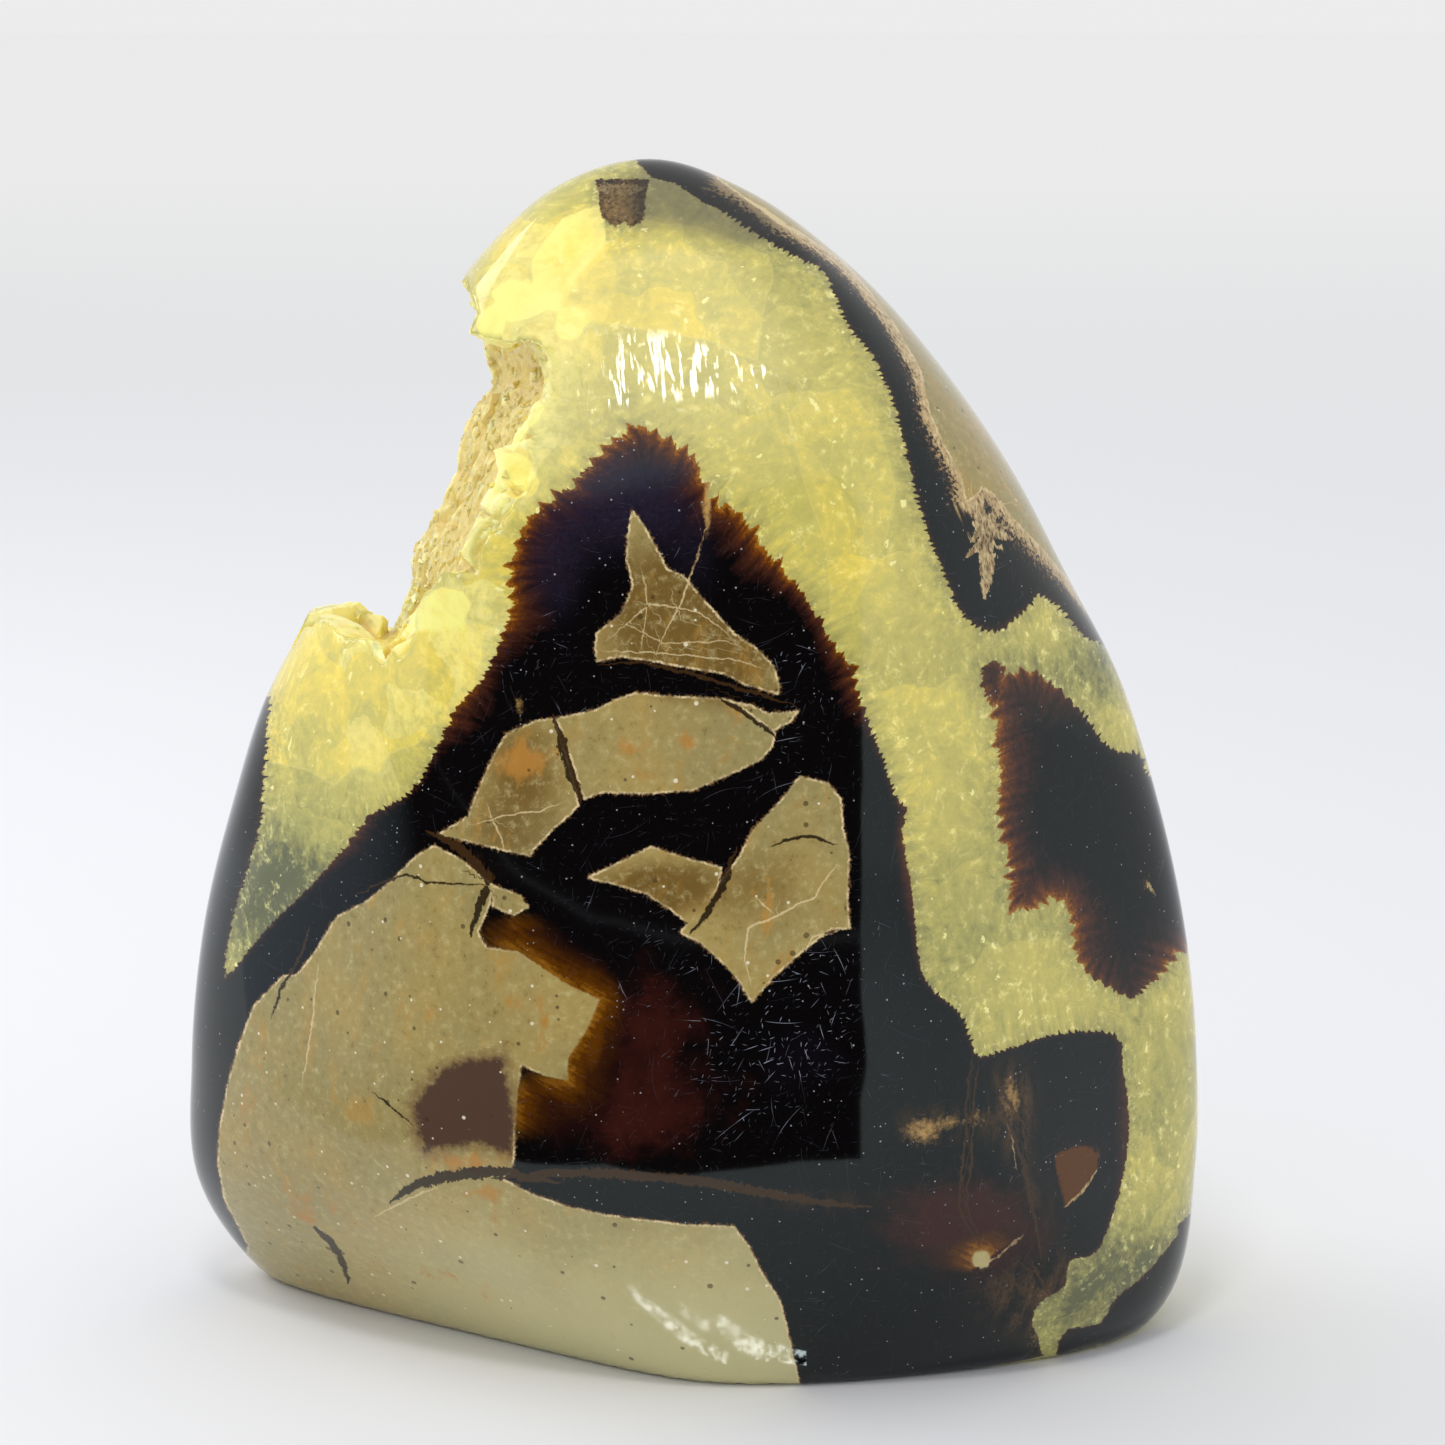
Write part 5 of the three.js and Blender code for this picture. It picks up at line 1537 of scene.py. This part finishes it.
def fitToSolid(pieces):
    # the smooth skin takes the reach of the faceted solid on each axis
    points = np.concatenate([meshArrays(piece.data) for piece in pieces]) * mm
    low, high = points.min(axis=0), points.max(axis=0)
    factors = np.minimum(np.array(cadBox[0])[:2] / low[:2], np.array(cadBox[1])[:2] / high[:2])
    factors = np.minimum(1, np.append(factors, cadBox[1][2] / high[2]))
    for piece in pieces:
        piece.data.transform(Matrix.Diagonal((*factors, 1)))
    print("fitted to the solid:", factors.round(4))


fitToSolid((nodule, crust))
places = ((nodule, "nodule", "septarian_stone"), (crust, "crystal_crust", "calcite_crystal"))
for piece, nodeName, slotName in places:
    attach(piece, "root")
    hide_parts(nodeName)
print("pieces placed")


# floor, light and camera

setting = {
    "eye": (0.0021, -0.356, 0.125), "pitch": 11.4, "lens": 105.3,
    "floorReach": 3.0, "floorPaints": (paint(236, 237, 241), paint(252, 253, 252)), "floorFade": (200, 1500),
    "sky": 0.84,
    # the dim room behind the viewer, x and z in millimetres on an upright board
    "roomDistance": 600,
    "room": [
        (-2600, 2), (155, 2), (161, 20), (178, 66), (219, 102), (280, 168), (420, 330), (330, 520),
        (-330, 620), (-2600, 700)],
    "roomFade": (360, 560),
    # its share of the floor, x and y in millimetres
    "roomFloor": [
        (-30.6, -43.8), (-19.4, -55), (12.6, -62), (21.5, -60.5), (27, -90.6), (74, -275), (155, -598),
        (-2600, -598), (-2600, 60), (-300, 60), (-60, -20)],
    "roomSide": {"y": (-110, 40), "x": (-40, -160)},     # its left part fades into the white floor
    "roomPaints": (paint(3, 3, 4), paint(7, 7, 9)), "skyTint": (0.8, 0.88, 1, 1),
    "roomLift": 0.3, "footLift": 0.4,        # of the boards above the floor, in millimetres
    "lamps": {      # place and size in metres, strength in watts, colour
        "top": ((-0.0395, -0.213, 0.428), (0.085, 0.05), 0.34, (1, 0.98, 0.95)),
        "window": ((-0.42, 0.16, 0.36), (0.3, 0.3), 0.8, (0.94, 0.97, 1)),
    },
    "aim": (0, 0, 0.055),
    "footGlow": 12, "footTint": (0.95, 1, 1, 1),
    "footLights": [         # x and y in millimetres
        [(-9.8, -26.6), (-3.4, -24), (2.4, -21.6), (2.2, -20.3), (-3.2, -21.8), (-8.4, -24.2)],
        [(-3.6, -27.1), (0.9, -25.2), (0.5, -23.7), (-3.2, -25.3)],
        [(1.6, -26.6), (4.7, -23.7), (9.6, -21.6), (9.4, -20.1), (3.8, -21.6), (1.2, -24.4)]],
}


def flatBoard(name, corners, material):
    mesh = bpy.data.meshes.new(name)
    mesh.from_pydata([tuple(c * mm for c in corner) for corner in corners], [], [tuple(range(len(corners)))])
    mesh.materials.append(material)
    board = makeObject(name, mesh)
    return board


def seenInPolishOnly(board):
    for ray in ("camera", "diffuse", "shadow", "transmission"):
        setattr(board, "visible_" + ray, False)


matt = {"Roughness": 1.0, "Specular IOR Level": 0.0}


def makeFloor():
    reach = setting["floorReach"] / mm
    material, tree, surface, spot = newMaterial("pale floor")
    distant = fade(tree, threeParts(tree, spot)[1], *setting["floorFade"])
    tree.links.new(blend(tree, distant, *setting["floorPaints"]), surface.inputs["Base Color"])
    setValues(surface, matt)
    corners = [(reach * x, reach * y, 0) for x, y in ((-1, -1), (1, -1), (1, 1), (-1, 1))]
    flatBoard("floor", corners, material)


def makeDimRoom():
    # only the polish mirrors it
    material, tree, surface, spot = newMaterial("dim room")
    across, depth, height = threeParts(tree, spot)
    colour = blend(tree, noise(tree, spot, 0.01, 2), *setting["roomPaints"])
    tree.links.new(colour, surface.inputs["Base Color"])
    setValues(surface, {**matt, "Emission Color": setting["skyTint"]})
    side = setting["roomSide"]
    faded = product(tree, fade(tree, depth, *side["y"]), fade(tree, across, *side["x"]))
    bright = largest(tree, fade(tree, height, *setting["roomFade"]), faded)
    tree.links.new(product(tree, bright, setting["sky"]), surface.inputs["Emission Strength"])
    away, lift = -setting["roomDistance"], setting["roomLift"]
    seenInPolishOnly(flatBoard("roomBoard", [(x, away, z) for x, z in setting["room"]], material))
    seenInPolishOnly(flatBoard("roomFloor", [(x, y, lift) for x, y in setting["roomFloor"]], material))


def makeFootLights():
    # low strips that glint in the polish just above the floor
    material, tree, surface, spot = newMaterial("foot light")
    setValues(surface, {"Base Color": paint(0, 0, 0), "Emission Color": setting["footTint"]})
    patches = fade(tree, noise(tree, spot, 1.3, 3, 0.7), 0.4, 0.62, 0, setting["footGlow"])
    tree.links.new(patches, surface.inputs["Emission Strength"])
    for strip in setting["footLights"]:
        corners = [(x, y, setting["footLift"]) for x, y in strip]
        seenInPolishOnly(flatBoard("footLight", corners, material))


def makeLights():
    world = bpy.data.worlds.new("white room")
    bpy.context.scene.world = world
    world.use_nodes = True
    background = world.node_tree.nodes["Background"]
    background.inputs["Color"].default_value = (1, 1, 1, 1)
    background.inputs["Strength"].default_value = setting["sky"]
    for name, (place, (width, depth), strength, colour) in setting["lamps"].items():
        data = bpy.data.lights.new(name, "AREA")
        data.shape = "RECTANGLE"
        data.size, data.size_y = width, depth
        data.energy = strength
        data.color = colour
        lamp = bpy.data.objects.new(name, data)
        lamp.location = place
        toAim = Vector(setting["aim"]) - Vector(place)
        lamp.rotation_euler = toAim.to_track_quat("-Z", "Y").to_euler()
        bpy.context.scene.collection.objects.link(lamp)


def makeCamera():
    data = bpy.data.cameras.new("camera")
    data.lens = setting["lens"]
    data.sensor_width = 36
    data.clip_start, data.clip_end = 0.01, 20
    camera = bpy.data.objects.new("camera", data)
    camera.location = setting["eye"]
    camera.rotation_euler = (math.radians(90 - setting["pitch"]), 0, 0)
    bpy.context.scene.collection.objects.link(camera)
    bpy.context.scene.camera = camera
    bpy.context.scene.view_settings.view_transform = "Standard"


makeFloor()
makeDimRoom()
makeFootLights()
makeLights()
makeCamera()
print("stage set")
